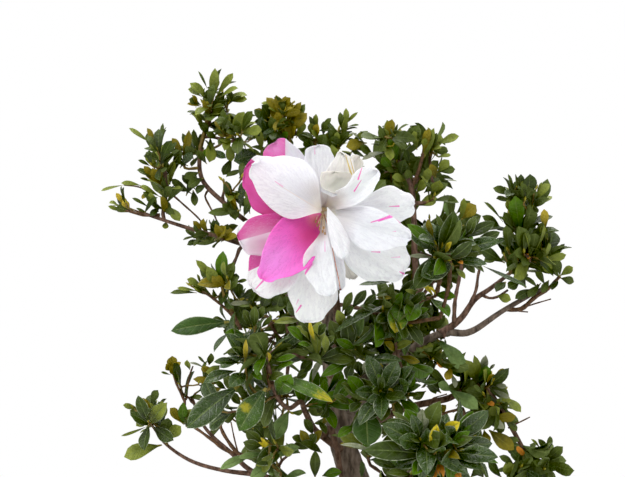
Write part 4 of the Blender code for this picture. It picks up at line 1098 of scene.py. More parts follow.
# The middle of the crown, in mm: shoots and the faces of their leaves turn away from it
CROWN_HEART = (-8, 30, 195)
# A shoot's leaves: how many, and how far that number strays
LEAVES_PER_SHOOT = 8
LEAF_COUNT_STRAY = 3
# The leaves are this much longer, and the shoots this much closer, than the table of masses says
LEAF_SCALE = 1.15
SPACING_SCALE = 0.80
# The leafy stretch of a shoot, in leaf lengths
SHOOT_LENGTH_PER_LEAF = 1.2
SHOOT_TRIES = 400
# A tip keeps inside its mass by this share of a leaf, but has at least this share of the mass to lie in
LEAF_OVERHANG = 0.36
LEAST_ROOM = 0.28
# How far leaves lean from their shoot, in degrees: at its tip, at the last of them, and at random
TIP_LEAN, LAST_LEAN, STRAY_LEAN = 16, 68, 11
# The size of the topmost leaf as a share of the others'
TOPMOST_SIZE = 0.62
# The share of leaves that are round-ended: on near shoots, on far ones, and among those with own places
SPOON_SHARE_NEAR, SPOON_SHARE_FAR, SPOON_SHARE_PLACED = 0.3, 0.85, 0.75
# The share of a shoot's leaves that have its main finish
MAIN_FINISH_SHARE = 0.6
# Leaves nearer to the viewer than this have a midrib and a margin of hairs
NEAR_DEPTH_MM = -20
# A leaf seen wider than this, in px, is one of the big ones
BIG_LEAF_WIDTH = 16
YELLOW_LEAF_CHANCE = 0.007
PATTERN_COUNT = 8


def pick(rng, shares):
    return rng.choices(list(shares), weights=list(shares.values()))[0]


def shoot_tips(rng, centre, half, reach, spacing):
    """Places for shoots inside an ellipsoid, so that leaves of this reach fill it, and no two of them closer
    than spacing."""
    room = Vector([max(h - reach, LEAST_ROOM * h) for h in half])
    tips = []
    for _ in range(SHOOT_TRIES):
        way = stray(rng, 1).normalized()
        share = rng.uniform(0.15, 1.0) ** 0.5
        place = centre + Vector([w * r * share for w, r in zip(way, room)])
        if all((place - tip).length > spacing for tip in tips):
            tips.append(place)
    return tips


def in_gap(points):
    """Whether any of these points is seen where the daylight shows through."""
    for px, py in map(seen_at, points):
        for x, y, half_width, half_height in GAPS:
            if ((px - x) / half_width) ** 2 + ((py - y) / half_height) ** 2 < 1:
                return True
    return False


def plan_shoots(rng, nodes, heart):
    """Every shoot of the crown: its node, tip, heading, greens, leaf length and its own draws, so that a gap
    changes only the shoots in it."""
    shoots = []
    for node in nodes:
        greens, leaf_mm, spacing_mm = MASSES.get(node.removeprefix("foliage_"), BACK_MASS)
        leaf_length = leaf_mm * LEAF_SCALE * MM
        low, high = (Vector(c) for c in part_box(node))
        centre, half = (low + high) / 2, (high - low) / 2
        spacing = spacing_mm * SPACING_SCALE * MM
        for tip in shoot_tips(rng, centre, half, LEAF_OVERHANG * leaf_length, spacing):
            own = random.Random(rng.random())
            # A shoot heads out of its mass, away from the crown's heart and above all up
            out = (tip - centre) / max(half)
            away = (tip - heart).normalized()
            heading = out * 0.6 + away * 0.45 + UP * 0.85 + stray(own, 0.3)
            if not in_gap([tip]):
                shoots.append((node, tip, heading.normalized(), greens, leaf_length, own))
    return shoots


def make_crown():
    rng = random.Random(11)
    patterns = {
        (near, spoon): [leaf_pattern(rng, near, spoon) for _ in range(PATTERN_COUNT)]
        for near in (False, True)
        for spoon in (False, True)
    }
    wood = Wood()
    nodes = [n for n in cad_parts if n.startswith("foliage_")]
    heart = Vector(CROWN_HEART) * MM
    shoots = plan_shoots(rng, nodes, heart)
    # The shoots nearest to a limb grow first, so that the others can grow on from them
    limbs = np.array(wood.limb_points)
    shoots.sort(key=lambda s: float(np.linalg.norm(limbs - np.array(s[1]), axis=1).min()))
    for _, tip, heading, _, _, own in shoots:
        wood.grow(tip, heading, own)
    groups = {group_of(node): Patchwork() for node in nodes}
    buds = Patchwork()
    for (node, tip, _, greens, leaf_length, own), chain in zip(shoots, wood.shoots):
        near = tip.y < NEAR_DEPTH_MM * MM
        light = (tip - heart).normalized() * 0.65 + UP * 0.3
        route = [wood.places[point] for point in chain]
        dress_shoot(groups[group_of(node)], route, leaf_length, GREENS[greens], light, patterns, near, own)
        add_bud(buds, route[-1], wood.ways[chain[-1]])
    make_sprays(groups, patterns)
    make_twigs(wood)
    for group, leaves in groups.items():
        leaves.place(group, LEAF_FINISHES, "leaf", [n for n in nodes if group_of(n) == group])
    buds.place("leaf_buds", [BUD], "leaf")


def make_sprays(groups, patterns):
    """The leaves with places of their own. The draws of each come from where it is seen."""
    for name, (depth, items) in SPRAYS.items():
        group = groups[group_of(name)]
        near = depth < NEAR_DEPTH_MM
        scale = (depth * MM - CAMERA_PLACE.y) / FOCAL_PX
        for item in items:
            if isinstance(item, str):
                finish = item
                continue
            x, y, right, down, width, *stand = item
            rng = random.Random(f"{x} {y} {x + right} {y + down}")
            base = spot(x, y, depth)
            tip_depth = depth - (stand[0] if stand else USUAL_STAND)
            reach = spot(x + right, y + down, tip_depth) - base
            spoon = not near and rng.random() < SPOON_SHARE_PLACED
            face = TO_VIEWER + UP * 0.45 + stray(rng, 0.25)
            pattern = rng.choice(patterns[near, spoon])
            if width > BIG_LEAF_WIDTH:
                # A big leaf lies open and faces the viewer
                pattern = max(patterns[near, spoon], key=lambda p: np.ptp(p[0][:, 0]))
                face = TO_VIEWER + UP * 0.3
            way, length = aimed(pattern, reach, face)
            add_leaf(group, pattern, base, way, face, length, width * scale * 1.08, finish)


def aimed(pattern, reach, face):
    """The way and the length that bring the tip of a curled, bent leaf to a reach from its base."""
    _, end, _, bend, curl = pattern[0][-1]
    way, length = reach.normalized(), reach.length
    for _ in range(3):
        over = (face - way * face.dot(way)).normalized()
        straight = reach - over * curl * length - way.cross(over) * bend * length
        way, length = straight.normalized(), straight.length / end
    return way, length


def group_of(node):
    for word in ("back", "heart", "top", "left", "right"):
        if word in node:
            return f"leaves_{word}"
    return "leaves_front"


def dress_shoot(leaves, route, leaf_length, shares, light, patterns, near, rng):
    """Leaves in a spiral down the last stretch of a shoot, upright at its tip and spreading lower down, with
    their upper faces turned to the light."""
    back = list(reversed(route))
    count = LEAVES_PER_SHOOT + rng.randint(-LEAF_COUNT_STRAY, LEAF_COUNT_STRAY)
    stretch = leaf_length * SHOOT_LENGTH_PER_LEAF
    turn = rng.uniform(0, 2 * math.pi)
    main = pick(rng, shares)
    for i in range(count):
        share = i / (count - 1)
        place, way = point_back(back, stretch * share**1.2)
        lean = math.radians(mix(TIP_LEAN, LAST_LEAN, share**0.8) + rng.gauss(0, STRAY_LEAN))
        turn += GOLDEN_TURN
        out = (turned_from(way, lean, turn) + UP * 0.15 + TO_VIEWER * 0.05).normalized()
        face = way * 0.9 + light + stray(rng, 0.25)
        size = leaf_length * mix(TOPMOST_SIZE, 1.0, min(1, share * 2.2)) * rng.uniform(0.75, 1.2)
        finish = main if rng.random() < MAIN_FINISH_SHARE else pick(rng, shares)
        if rng.random() < YELLOW_LEAF_CHANCE:
            finish = "yellow"
        spoon = rng.random() < (SPOON_SHARE_NEAR if near else SPOON_SHARE_FAR)
        width = size * rng.uniform(0.34, 0.44)
        side = way.cross(out).normalized() * width * 0.5
        midrib = [place + out * size * s for s in (0.4, 0.7, 1.0)]
        edges = [place + out * size * 0.6 + side * s for s in (-1, 1)]
        if not in_gap(midrib + edges):
            add_leaf(leaves, rng.choice(patterns[near, spoon]), place, out, face, size, width, finish)


def point_back(back, run):
    """The place and growing direction at a distance back from the tip along a shoot."""
    for a, b in zip(back, back[1:]):
        length = (b - a).length
        if run <= length:
            return a + (b - a) * (run / length), (a - b).normalized()
        run -= length
    return back[-1], (back[-2] - back[-1]).normalized()


# ---------------------------------------------------------------- bloom

# The bloom's middle, where its petals meet
BLOOM = spot(322.4, 212.4, -88)
# A petal's texture coordinates are its place on the face of the bloom: this many mm across, from side to side
FACE_MM = 100
# Grounds of the petals. The cool white is painted light: brighter and bluer than the plain white, as if lit
# by a cool light. The shaded white and the grey cream are white and cream with painted shade, for petals that
# lie back in the shadow of others
PETAL_WHITE = "#F2F4FC"
PETAL_COOL_LIT_WHITE = "#F8FAFF"
PETAL_SHADED = "#EAE9F0"
PETAL_CREAM = "#F0EDE2"
PETAL_SHADED_CREAM = "#D8D4C6"
PETAL_PINK = "#FF5CC0"
PETAL_DULL_PINK = "#C33287"
PETAL_DEEP_PINK = "#C92C78"
MARK_PINK = "#EA4FAE"
MARK_PALE = "#EFB4DB"
THROAT = "#E9DFC4"

# Each petal from the bloom's middle, in mm: its direction (degrees from the right, upwards), its length, its
# reach to the anticlockwise and to the clockwise side at each of PETAL_STATIONS, how far its tip lies to the
# anticlockwise side, how far the blade and the tip stand towards the viewer, and how far its two sides rise
PETAL_STATIONS = (0.0, 0.25, 0.5, 0.75, 0.92, 1.0)
PETALS = {
    "lower_left_behind": (-131, 41.5, (4, 8.5, 10.6, 7.1), (4, 8, 10.6, 6.3), 0, -0.6, -2.2, 1.0),
    "bottom_behind": (-99, 44.2, (4, 8, 11.4, 7.4), (3, 7, 8.8, 4.8), 0, -2, -3.5, 1.0),
    "lower_right_behind": (-38, 41, (4, 8, 11.8, 8), (4, 10.4, 10.5, 5.4), 0, -3, -7, 1.5),
    "shaded_below": (-64, 29.5, (2, 3.5, 4.5, 3), (2, 3.5, 4.5, 3), 0, -9, -10, 0.5),
    "left_pink_behind": (158, 35.2, (5.5, 9.2, 9, 3), (7, 11, 13, 11.5), -4, -1, -4, 1.0),
    "top_left_behind": (124, 34.4, (3.5, 6.5, 8, 7), (4, 6.4, 6.4, 4.6), 0, -4, -7, 1.0),
    "top": (93, 27, (3, 4.5, 6, 5.6), (3, 4.5, 6.2, 4.6), 0, -2, -5, 1.5),
    # The curl behind is drawn grey: painted shade, as it lies in the shadow of the cream curl
    "shaded_curl_behind": (56, 26.6, (2, 4, 4.6, 3), (2, 4, 4.6, 3), 0, -4, -4, 1.0),
    "cream_curl": (70, 24.9, (3, 4.5, 3.6, 2.6), (3, 5.5, 6.8, 4.6), 2.2, 0, 2, 1.5),
    "folded_lip": (88, 9.6, (4.9, 5.4, 4.6, 3.0), (5.6, 6.4, 6.0, 5.0), -0.6, 2.2, 2.0, 0.0),
    "cream_cup": (88, 8.7, (4.6, 5.5, 5.7, 5.2), (4.6, 6.6, 7.0, 6.4), 0, 2.8, 4.4, 1.2),
    "right": (6, 37, (2.5, 5, 7.8, 4.2), (3, 6, 8, 5.6), -1, 0, -3, 1.5),
    "left_half_pink": (196, 34.9, (4, 8.5, 10.2, 8.4), (3, 4.8, 5.8, 4.8), 0, 3.2, 0.2, 1.0),
    "behind_lower_front": (-77, 31.6, (2, 3.6, 3.8, 2.6), (2, 3.5, 4, 3), 0, 0, -2, 0.5),
    "upper_right_folded": (36, 27.2, (3.8, 3, 5.2, 4.6), (3.3, 5.6, 5.2, 3.0), 0, 6, 3, 2.5),
    "lower_right_front": (-16.6, 36.6, (5, 7.5, 6.1, 3.7), (4.5, 9.5, 7.8, 3.9), 0, 4, 0, 2.0),
    "pink_front": (-131, 35.8, (6, 10, 7.4, 3.4), (9.3, 10.4, 7.8, 4.6), -1, 5, 1.5, 2.0),
    "upper_left_front": (146, 33.2, (8.9, 10.2, 8.3, 4.9), (9.8, 12.9, 10.0, 5.6), 0, 5.5, 4, 1.5),
    "lower_front": (-87, 33.0, (1.5, 3, 3.8, 4.2), (1.5, 8.2, 8, 4.6), 1.5, 6, 6, 1.0),
    "central_small": (-73.6, 21.4, (2.4, 3.9, 4.6, 3.0), (1.7, 2.5, 2.7, 2.0), 0.3, 9.5, 11.5, -0.8),
}
# Three petals start beside the others: mm right and up of the bloom's middle
PETAL_STARTS = {"central_small": (1.8, 2.4), "cream_cup": (4.5, 7.2), "folded_lip": (4.0, 5.9)}
# How deep in the throat each side of a petal starts, in mm, where it lies flatter than the rest
PETAL_FEET = {
    "upper_left_front": (-1, -4.5),
    "right": (5, 5),
    "lower_right_front": (6, 6),
    "pink_front": (0, 6),
    "folded_lip": (-2.2, -2.2),
    "cream_cup": (-3.2, -3.2),
    "central_small": (-5, -5),
}
# Nicks in the end of a petal, in mm: (how far to the anticlockwise side of its middle, half width, depth)
PETAL_NICKS = {
    "top_left_behind": [(-0.6, 0.7, 1.7)],
    "right": [(-1.6, 0.8, 1.4)],
    "lower_right_front": [(-1.5, 0.8, 1.0)],
    "upper_left_front": [(-2.6, 0.9, 1.2)],
    "upper_right_folded": [(-2.4, 0.6, 0.9), (-4.0, 0.5, 0.7)],
    "lower_right_behind": [(3.0, 0.8, 0.9)],
    "lower_left_behind": [(1.0, 0.9, 0.8)],
}
# The near-pure white of the two lower petals behind the front ones is painted light, brighter than the rest
# to lift the shadow that the front petals cast on them. The top left petal behind is greyed with painted
# shade
PETAL_GROUNDS = {
    "pink_front": PETAL_PINK,
    "cream_curl": PETAL_CREAM,
    "cream_cup": PETAL_SHADED_CREAM,
    "shaded_curl_behind": PETAL_SHADED_CREAM,
    "bottom_behind": "#FCFDFF",
    "lower_right_behind": PETAL_COOL_LIT_WHITE,
    "lower_left_behind": "#FCFDFF",
    "left_half_pink": PETAL_COOL_LIT_WHITE,
    "right": PETAL_COOL_LIT_WHITE,
    "upper_right_folded": PETAL_COOL_LIT_WHITE,
    "lower_front": PETAL_COOL_LIT_WHITE,
    "central_small": PETAL_COOL_LIT_WHITE,
    "top_left_behind": "#D2D1DA",
    "top": PETAL_SHADED,
    "shaded_below": PETAL_SHADED_CREAM,
}
# Pink sectors: the edges that bound the pink, as (mm right, mm up, the direction in which the pink lies)
PETAL_SECTORS = {
    "left_pink_behind": [(-26.7, 20.2, 233)],
    "top_left_behind": [(-14.8, 25, 180)],
    "left_half_pink": [(-33.0, -11.2, 105.3), (-34.0, -8.8, -37)],
    "lower_left_behind": [(-29.6, -23.4, 114)],
}
# Streaks on the face of the bloom: (mm right, mm up) at each end, width in mm, colour
PETAL_STREAKS = {
    "upper_left_front": [
        ((-18.7, 12.2), (-15.8, 10.1), 0.6, MARK_PALE),
        # A line of painted shade along the petal's crease
        ((-17.0, 10.6), (-0.5, 0.6), 0.5, "#E2D8D6"),
    ],
    "top": [((-3.1, 26.2), (-3.0, 23.4), 0.45, MARK_PALE)],
    "cream_curl": [((9.1, 22.8), (11.5, 15.2), 0.7, "#C9AE45"), ((11.0, 21.4), (12.6, 15.4), 0.4, "#BFA03C")],
    "upper_right_folded": [
        ((15.6, 17.9), (14.0, 13.0), 0.6, MARK_PINK), ((15.3, 12.7), (12.5, 8.3), 0.5, MARK_PINK),
    ],
    "right": [((26.5, 2.4), (30.4, 2.5), 0.5, MARK_PINK)],
    "lower_right_front": [
        ((19.2, -3.9), (27.2, -1.6), 1.0, MARK_PINK),
        ((22.2, -3.5), (27.2, -1.3), 1.1, MARK_PINK),
        ((27.4, -0.9), (30.8, -3.9), 0.7, MARK_PINK),
        ((27.8, -7.5), (29.0, -7.5), 0.4, MARK_PALE),
    ],
    "lower_right_behind": [
        ((19.5, -15.6), (22.8, -15.7), 0.5, MARK_PINK),
        ((27.5, -17.9), (30.9, -17.7), 0.5, MARK_PALE),
        ((30.9, -23.6), (32.4, -24.4), 0.7, MARK_PINK),
    ],
    "lower_front": [
        ((-6.9, -24.4), (-4.6, -20.4), 1.5, MARK_PINK), ((1.0, -11.4), (1.0, -15.3), 0.5, MARK_PALE),
    ],
    "bottom_behind": [
        ((-10.4, -39.7), (-8.6, -37.1), 0.7, MARK_PINK), ((-10.4, -36.6), (-9.6, -34.8), 0.5, MARK_PALE),
    ],
    "lower_left_behind": [((-26.5, -30.4), (-23.6, -27.2), 0.7, MARK_PINK)],
}
# Veins are dark pink in a pink petal, mauve in one with a sector of pink, and grey in the others
VEIN_PALE = "#C9C4D0"
PETAL_VEINS = {
    "pink_front": "#B8207E",
    "left_pink_behind": "#B8207E",
    "left_half_pink": "#CC9ABA",
    "lower_left_behind": "#CC9ABA",
    "top_left_behind": "#CC9ABA",
}
# Soft patches of colour on the face of the bloom: (mm right, mm up) of the middle, reach in mm, strength and
# colour. Most are painted shade: greyer or deeper where a petal lies in the shadow of the one in front of it,
# on the shaded side of a crease, and down towards the throat, where the warm cream is partly the petals' own.
# The coral at the foot of the pink petal is its own colour, and the deep pink where it curves into the throat
# is partly its own and partly painted shade. Others make the pinks paler or deeper in places. One that ends
# at a crease has the crease too, as a sector's edge
PETAL_PAINTED_SHADES_AND_TINTS = {
    "pink_front": [
        ((-21, -19), 14, 0.85, "#FC8AE8"),
        ((-8, -4), 10, 0.75, "#FF4CAC"),
        ((-4.5, -9.5), 11, 1.0, PETAL_DEEP_PINK),
        ((-3, -2.5), 5, 0.9, "#EE7A86"),
    ],
    "left_pink_behind": [((-21, 0), 8, 0.8, "#CC2A7C")],
    "left_half_pink": [
        ((-25.5, -6), 4.5, 0.8, "#C0207A"), ((-23.5, -13), 12, 1.0, "#C48AA8"),
        ((-27.5, -13.5), 6, 0.7, "#B898A6"),
    ],
    "top_left_behind": [((-19, 26), 7, 0.9, "#E878BE")],
    "upper_left_front": [
        ((-3.0, 7.8), 8, 0.8, "#BFB5A4"),
        ((-8.5, 8), 12, 0.6, "#CDCBD2", (-8.8, 5.6, 58.8)),
        ((-1, 2), 4, 0.6, "#E4D8BE"),
    ],
    "lower_right_front": [((8.5, -2.5), 9, 0.6, "#DDD4CE"), ((2, 0), 4, 0.8, "#CDB990")],
    "cream_cup": [((4, 12.5), 8, 0.8, "#D2CEBE")],
    "upper_right_folded": [
        ((11.5, 7), 7, 0.5, "#D4D2D8"), ((5.5, 4.5), 7, 0.8, "#DCD0C2"), ((1.5, 3), 4, 0.9, "#CDB990"),
    ],
    "right": [((6, 1.5), 6, 0.7, "#C9C69C")],
    "lower_front": [
        ((-3.5, -15.5), 6, 0.7, "#DCCBD8"), ((-1.5, -8.5), 5.5, 0.85, "#C4AEA8"),
        ((-0.5, -4), 5, 0.8, "#DCC4B4"),
    ],
}
PETAL_ROWS = 26
PETAL_COLUMNS = 25
PETAL_THICKNESS = 0.22 * MM
THROAT_DEPTH = 9


def petal_finish(name):
    """A petal: thin, damp tissue with a silky, faintly crinkled face. Light sinks into it a little, and its
    colour lies in sharp sectors and streaks that follow its veins, under soft patches that are mostly
    painted shade."""
    ground = linear(PETAL_GROUNDS.get(name, PETAL_WHITE))
    material, tree, shader = finish_of(
        f"petal_{name}",
        Roughness=0.55,
        Specular_IOR_Level=0.35,
        Subsurface_Weight=0.7,
        Subsurface_Radius=(1.0, 0.88, 0.95),
        Subsurface_Scale=1.6 * MM,
    )
    uv = add(tree, "UVMap")
    centred = add(tree, "VectorMath", {0: uv, 1: (0.5, 0.5, 0)}, operation="SUBTRACT")
    face = add(tree, "VectorMath", {0: centred, 1: (FACE_MM,) * 3}, operation="MULTIPLY")
    x, y = (add(tree, "SeparateXYZ", {0: face}, out=axis) for axis in "XY")
    reach = add(tree, "VectorMath", {0: face}, out="Value", operation="LENGTH")
    turn = add(tree, "Math", {0: y, 1: x}, operation="ARCTAN2")
    along = add(tree, "Math", {0: reach, 1: 0.012}, operation="MULTIPLY")
    fan = add(tree, "CombineXYZ", {"X": turn, "Y": along})
    veins = add(tree, "TexNoise", {"Vector": fan, "Scale": 26.0, "Detail": 3.0, "Roughness": 0.6})
    spread = add(tree, "MapRange", {0: veins, "From Min": 0.35, "From Max": 0.7})
    shade = [c * f for c, f in zip(ground, (0.90, 0.89, 0.93, 1))]
    colour = add(tree, "Mix", {0: spread, LOW: ground, HIGH: shade}, **COLOURS)
    sector = None
    for edge in PETAL_SECTORS.get(name, ()):
        within = half_plane(tree, face, *edge)
        if sector is not None:
            within = add(tree, "Math", {0: sector, 1: within}, operation="MULTIPLY")
        sector = within
    if sector is not None:
        colour = add(tree, "Mix", {0: sector, LOW: colour, HIGH: linear(PETAL_DULL_PINK)}, **COLOURS)
    # Soft patches over the colour: most of them painted shade, some the petal's own tints
    for middle, shade_reach, strength, hue, *crease in PETAL_PAINTED_SHADES_AND_TINTS.get(name, ()):
        gap = add(tree, "VectorMath", {0: face, 1: (*middle, 0)}, out="Value", operation="DISTANCE")
        limits = {"From Min": 0.0, "From Max": shade_reach, "To Min": strength, "To Max": 0.0}
        fade = add(tree, "MapRange", {0: gap, **limits}, interpolation_type="SMOOTHSTEP")
        for edge in crease:
            fade = add(tree, "Math", {0: fade, 1: half_plane(tree, face, *edge)}, operation="MULTIPLY")
        colour = add(tree, "Mix", {0: fade, LOW: colour, HIGH: linear(hue)}, **COLOURS)
    for start, end, width, hue in PETAL_STREAKS.get(name, ()):
        within = streak(tree, face, start, end, width)
        colour = add(tree, "Mix", {0: within, LOW: colour, HIGH: linear(hue)}, **COLOURS)
    if name not in ("central_small", "pink_front"):
        limits = {"From Min": 1.5, "From Max": 8.0, "To Min": 0.75, "To Max": 0.0}
        deep = add(tree, "MapRange", {0: reach, **limits})
        colour = add(tree, "Mix", {0: deep, LOW: colour, HIGH: linear(THROAT)}, **COLOURS)
    # Fine veins fan out from the throat: drawn a little broader than life, so that they show
    branches = add(tree, "TexNoise", {"Vector": fan, "Scale": 13.0, "Detail": 4.0, "Roughness": 0.7})
    beside = add(tree, "Math", {0: branches, 1: 0.09}, operation="PINGPONG")
    line = add(tree, "MapRange", {0: beside, "From Min": 0.016, "From Max": 0.0, "To Max": 0.65})
    vein_hue = linear(PETAL_VEINS.get(name, VEIN_PALE))
    vein = add(tree, "Mix", {0: 0.6, LOW: colour, HIGH: vein_hue}, **COLOURS)
    colour = add(tree, "Mix", {0: line, LOW: colour, HIGH: vein}, **COLOURS)
    tree.links.new(colour, shader.inputs["Base Color"])
    relief = add(tree, "Math", {0: line, 1: -0.5, 2: veins}, operation="MULTIPLY_ADD")
    bump = add(tree, "Bump", {"Height": relief, "Strength": 0.5, "Distance": 0.35 * MM})
    tree.links.new(bump, shader.inputs["Normal"])
    return material


def half_plane(tree, face, x, z, way):
    """1 on the side of a line through (x, z) that lies in the direction way, and 0 on the other."""
    turn = math.radians(way)
    across = (math.cos(turn), math.sin(turn), 0)
    gap = add(tree, "VectorMath", {0: face, 1: (x, z, 0)}, operation="SUBTRACT")
    side = add(tree, "VectorMath", {0: gap, 1: across}, out="Value", operation="DOT_PRODUCT")
    return add(tree, "MapRange", {0: side, "From Min": -0.2, "From Max": 0.2})


def streak(tree, face, start, end, width):
    """1 within a line between two places on the face of the bloom, which broadens to this width at its
    end."""
    span = Vector((*end, 0)) - Vector((*start, 0))
    gap = add(tree, "VectorMath", {0: face, 1: (*start, 0)}, operation="SUBTRACT")
    dot = add(tree, "VectorMath", {0: gap, 1: tuple(span)}, out="Value", operation="DOT_PRODUCT")
    share = add(tree, "Math", {0: dot, 1: span.length_squared}, operation="DIVIDE", use_clamp=True)
    step = add(tree, "VectorMath", {0: tuple(span), "Scale": share}, operation="SCALE")
    away = add(tree, "VectorMath", {0: gap, 1: step}, out="Value", operation="DISTANCE")
    broad = add(tree, "Math", {0: share, 1: 0.65 * width, 2: 0.35 * width}, operation="MULTIPLY_ADD")
    part = add(tree, "Math", {0: away, 1: broad}, operation="DIVIDE")
    return add(tree, "MapRange", {0: part, "From Min": 0.85, "From Max": 0.25})


def eased(share):
    share = max(0.0, min(1.0, share))
    return share * share * (3 - 2 * share)


def petal_edge(reaches, tip, share):
    """How far a petal reaches to one side at a share of its length: nothing at its foot, its tip's place at
    its end, and a smooth line between, ending round rather than in a point."""
    values = (0.0, *reaches, tip)
    last = len(values) - 2
    index = next((i for i in range(last) if share <= PETAL_STATIONS[i + 1]), last)
    start, end = PETAL_STATIONS[index : index + 2]
    part = (share - start) / (end - start)
    if index == last:
        return tip + (values[-2] - tip) * math.sqrt(max(0.0, 1 - part * part))
    before = values[max(0, index - 1)]
    after = values[min(last, index + 2)]
    here, there = values[index], values[index + 1]
    rise_in = (there - before) / 2
    rise_out = (after - here) / 2
    a, b = part**2, part**3
    middle = here * (2 * b - 3 * a + 1) + there * (3 * a - 2 * b)
    return middle + rise_in * (b - 2 * a + part) + rise_out * (b - a)


def make_petal(name):
    angle, length, ccw, cw, tip, stands, tip_stands, rise = PETALS[name]
    turn = math.radians(angle)
    along = Vector((math.cos(turn), 0, math.sin(turn)))
    beside = Vector((-math.sin(turn), 0, math.cos(turn)))
    start_x, start_z = PETAL_STARTS.get(name, (0, 0))
    feet = PETAL_FEET.get(name, (THROAT_DEPTH, THROAT_DEPTH))
    seed = Vector((angle, length, stands)) * 0.37

    def crinkle(*place):
        return noise.noise(Vector(place) + seed)

    points, uvs = [], []
    for row in range(PETAL_ROWS):
        # The rows close up towards the tip, where the edge turns fastest
        v = mix(0.02, 1, 1 - (1 - row / (PETAL_ROWS - 1)) ** 1.5)
        edges = (-petal_edge(cw, -tip, v), petal_edge(ccw, tip, v))
        for column in range(PETAL_COLUMNS):
            c = 2 * column / (PETAL_COLUMNS - 1) - 1
            side = (c + 1) / 2
            across = mix(*edges, side)
            reach = length * v + 0.9 * crinkle(c * 2.1, v, 0) * v * v
            for place, wide, deep in PETAL_NICKS.get(name, ()):
                reach -= deep * math.exp(-(((across - place) / wide) ** 2)) * v**6
            # How far the petal stands towards the viewer: up from its foot, over to its tip, its sides
            # raised, with broad waves and fine ones
            out = mix(-mix(*feet, side), stands, eased(v / 0.5))
            out += (tip_stands - stands) * (max(0, v - 0.4) / 0.6) ** 2
            out += rise * abs(c) ** 2.2 * math.sin(math.pi / 2 * min(v, 0.8) / 0.8)
            out += 1.2 * crinkle(c * 1.6, v * 1.8, 3) * eased(v * 1.5)
            out += 0.5 * crinkle(c * 6, v * 3, 7) * v * v
            place = along * reach + beside * across + Vector((start_x, 0, start_z))
            points.append(BLOOM + (place + TO_VIEWER * out) * MM)
            uvs.append((0.5 + place.x / FACE_MM, 0.5 + place.z / FACE_MM))
    quads = grid_quads(PETAL_ROWS, PETAL_COLUMNS)
    patch = Patchwork()
    patch.add(points, quads, uvs=np.array(uvs)[quads])
    piece = patch.place(f"petal_{name}", [petal_finish(name)], "petal", ["bloom"])
    body = piece.modifiers.new("thickness", "SOLIDIFY")
    body.thickness = PETAL_THICKNESS
    body.offset = 0


# Threads in the throat: (mm right, mm up, mm towards the viewer) along each, from the bloom's middle
STAMENS = [
    [(0, 0, -8), (-0.6, -1.4, -4), (-1.4, -3.2, -1.5), (-1.9, -5.0, -0.5)],
    [(0, 0, -8), (-0.4, -1.8, -4), (-0.9, -4.2, -1.0), (-1.1, -6.4, 0.2)],
    [(0, 0, -8), (0, -2.0, -4), (-0.1, -4.8, -0.8), (0.1, -7.4, 0.6)],
    [(0, 0, -8), (0.3, -1.6, -4), (0.6, -3.8, -1.4), (0.5, -6.0, -0.2)],
    [(0, 0, -8), (-0.8, -0.6, -4), (-2.0, -1.6, -1.6), (-2.6, -3.4, -0.8)],
    [(0, 0, -8), (-0.2, -1.0, -4), (-0.6, -2.4, -1.6), (-1.2, -4.0, 0.6)],
    [(0, 0, -8), (0.5, -1.6, -4), (0.9, -4.6, -1.6), (1.0, -8.2, 0.4)],
]
PISTIL = [
    (0.6, -0.5, -7), (2.2, -5.5, -0.5), (4.2, -15.6, 4.5), (5.4, -21.8, 5.5), (6.5, -27.0, 5.2),
    (7.0, -30.4, 4.8),
]
# Filaments: cream threads, moist
FILAMENT = soft_matter("filament", "#D2B488", "#F2E4C4", 0.8, 0.5)
# Anthers: tan, matte and mealy
ANTHER = soft_matter("anther", "#8E6A3C", "#C8A468", 0.3, 0.8)
# The floor of the throat, seen between the petals' feet: warm cream in shade
THROAT_FLOOR = soft_matter("throat_floor", "#B49C6C", "#E0D0A6", 1.0, 0.6)
# The pistil's style runs from brick red to pale pink, and its stigma is dark and sticky
STYLE = soft_matter("style", "#A03A20", "#E8B49A", 1.0, 0.5)
STIGMA = soft_matter("stigma", "#4A1A14", "#6E2A1E", 0.4, 0.4)
# The calyx and the stalk: downy green
CALYX = leaf_blade("calyx", "#3E5A1E", "#6A8638", 0.5, hairs=0.6)
# The tube behind the petals, then the calyx and the stalk: mm behind the bloom's middle and radius in mm
TUBE = [(9.2, 0.9), (9.7, 1.8), (10.8, 2.2), (12.6, 2.2), (14.6, 1.9), (16.6, 1.2), (19.0, 1.0)]
TUBE_DRIFT = Vector((1.0, 0, 0.2))
# Ends of the stamens and of the pistil: mm along the thread from its own end, and radius in mm
ANTHER_RINGS = ((-0.5, 0.16), (-0.25, 0.3), (0.1, 0.34), (0.5, 0.3), (0.8, 0.16))
STIGMA_RINGS = ((-0.2, 0.35), (0.1, 0.5), (0.4, 0.35))
# The throat's floor: mm behind the bloom's middle and radius in mm
FLOOR_RINGS = ((6.6, 1.6), (7.2, 2.2), (8.4, 2.4))


def add_thread(patch, places, radius_mm, slot):
    """A thread through places on the bloom, in one finish. Returns its points."""
    route = smooth_route([BLOOM + Vector((x, -out, z)) * MM for x, z, out in places], 0.6 * MM)
    add_tube(patch, route, [radius_mm * MM] * len(route), slot, 8, drawn_in=True)
    return route


def add_knob(patch, end, way, rings, slot, sides=8):
    """A closed round body at the end of a thread: rings are (mm along way, radius in mm)."""
    route = [end + way * (run * MM) for run, _ in rings]
    add_tube(patch, route, [radius * MM for _, radius in rings], slot, sides, drawn_in=True)


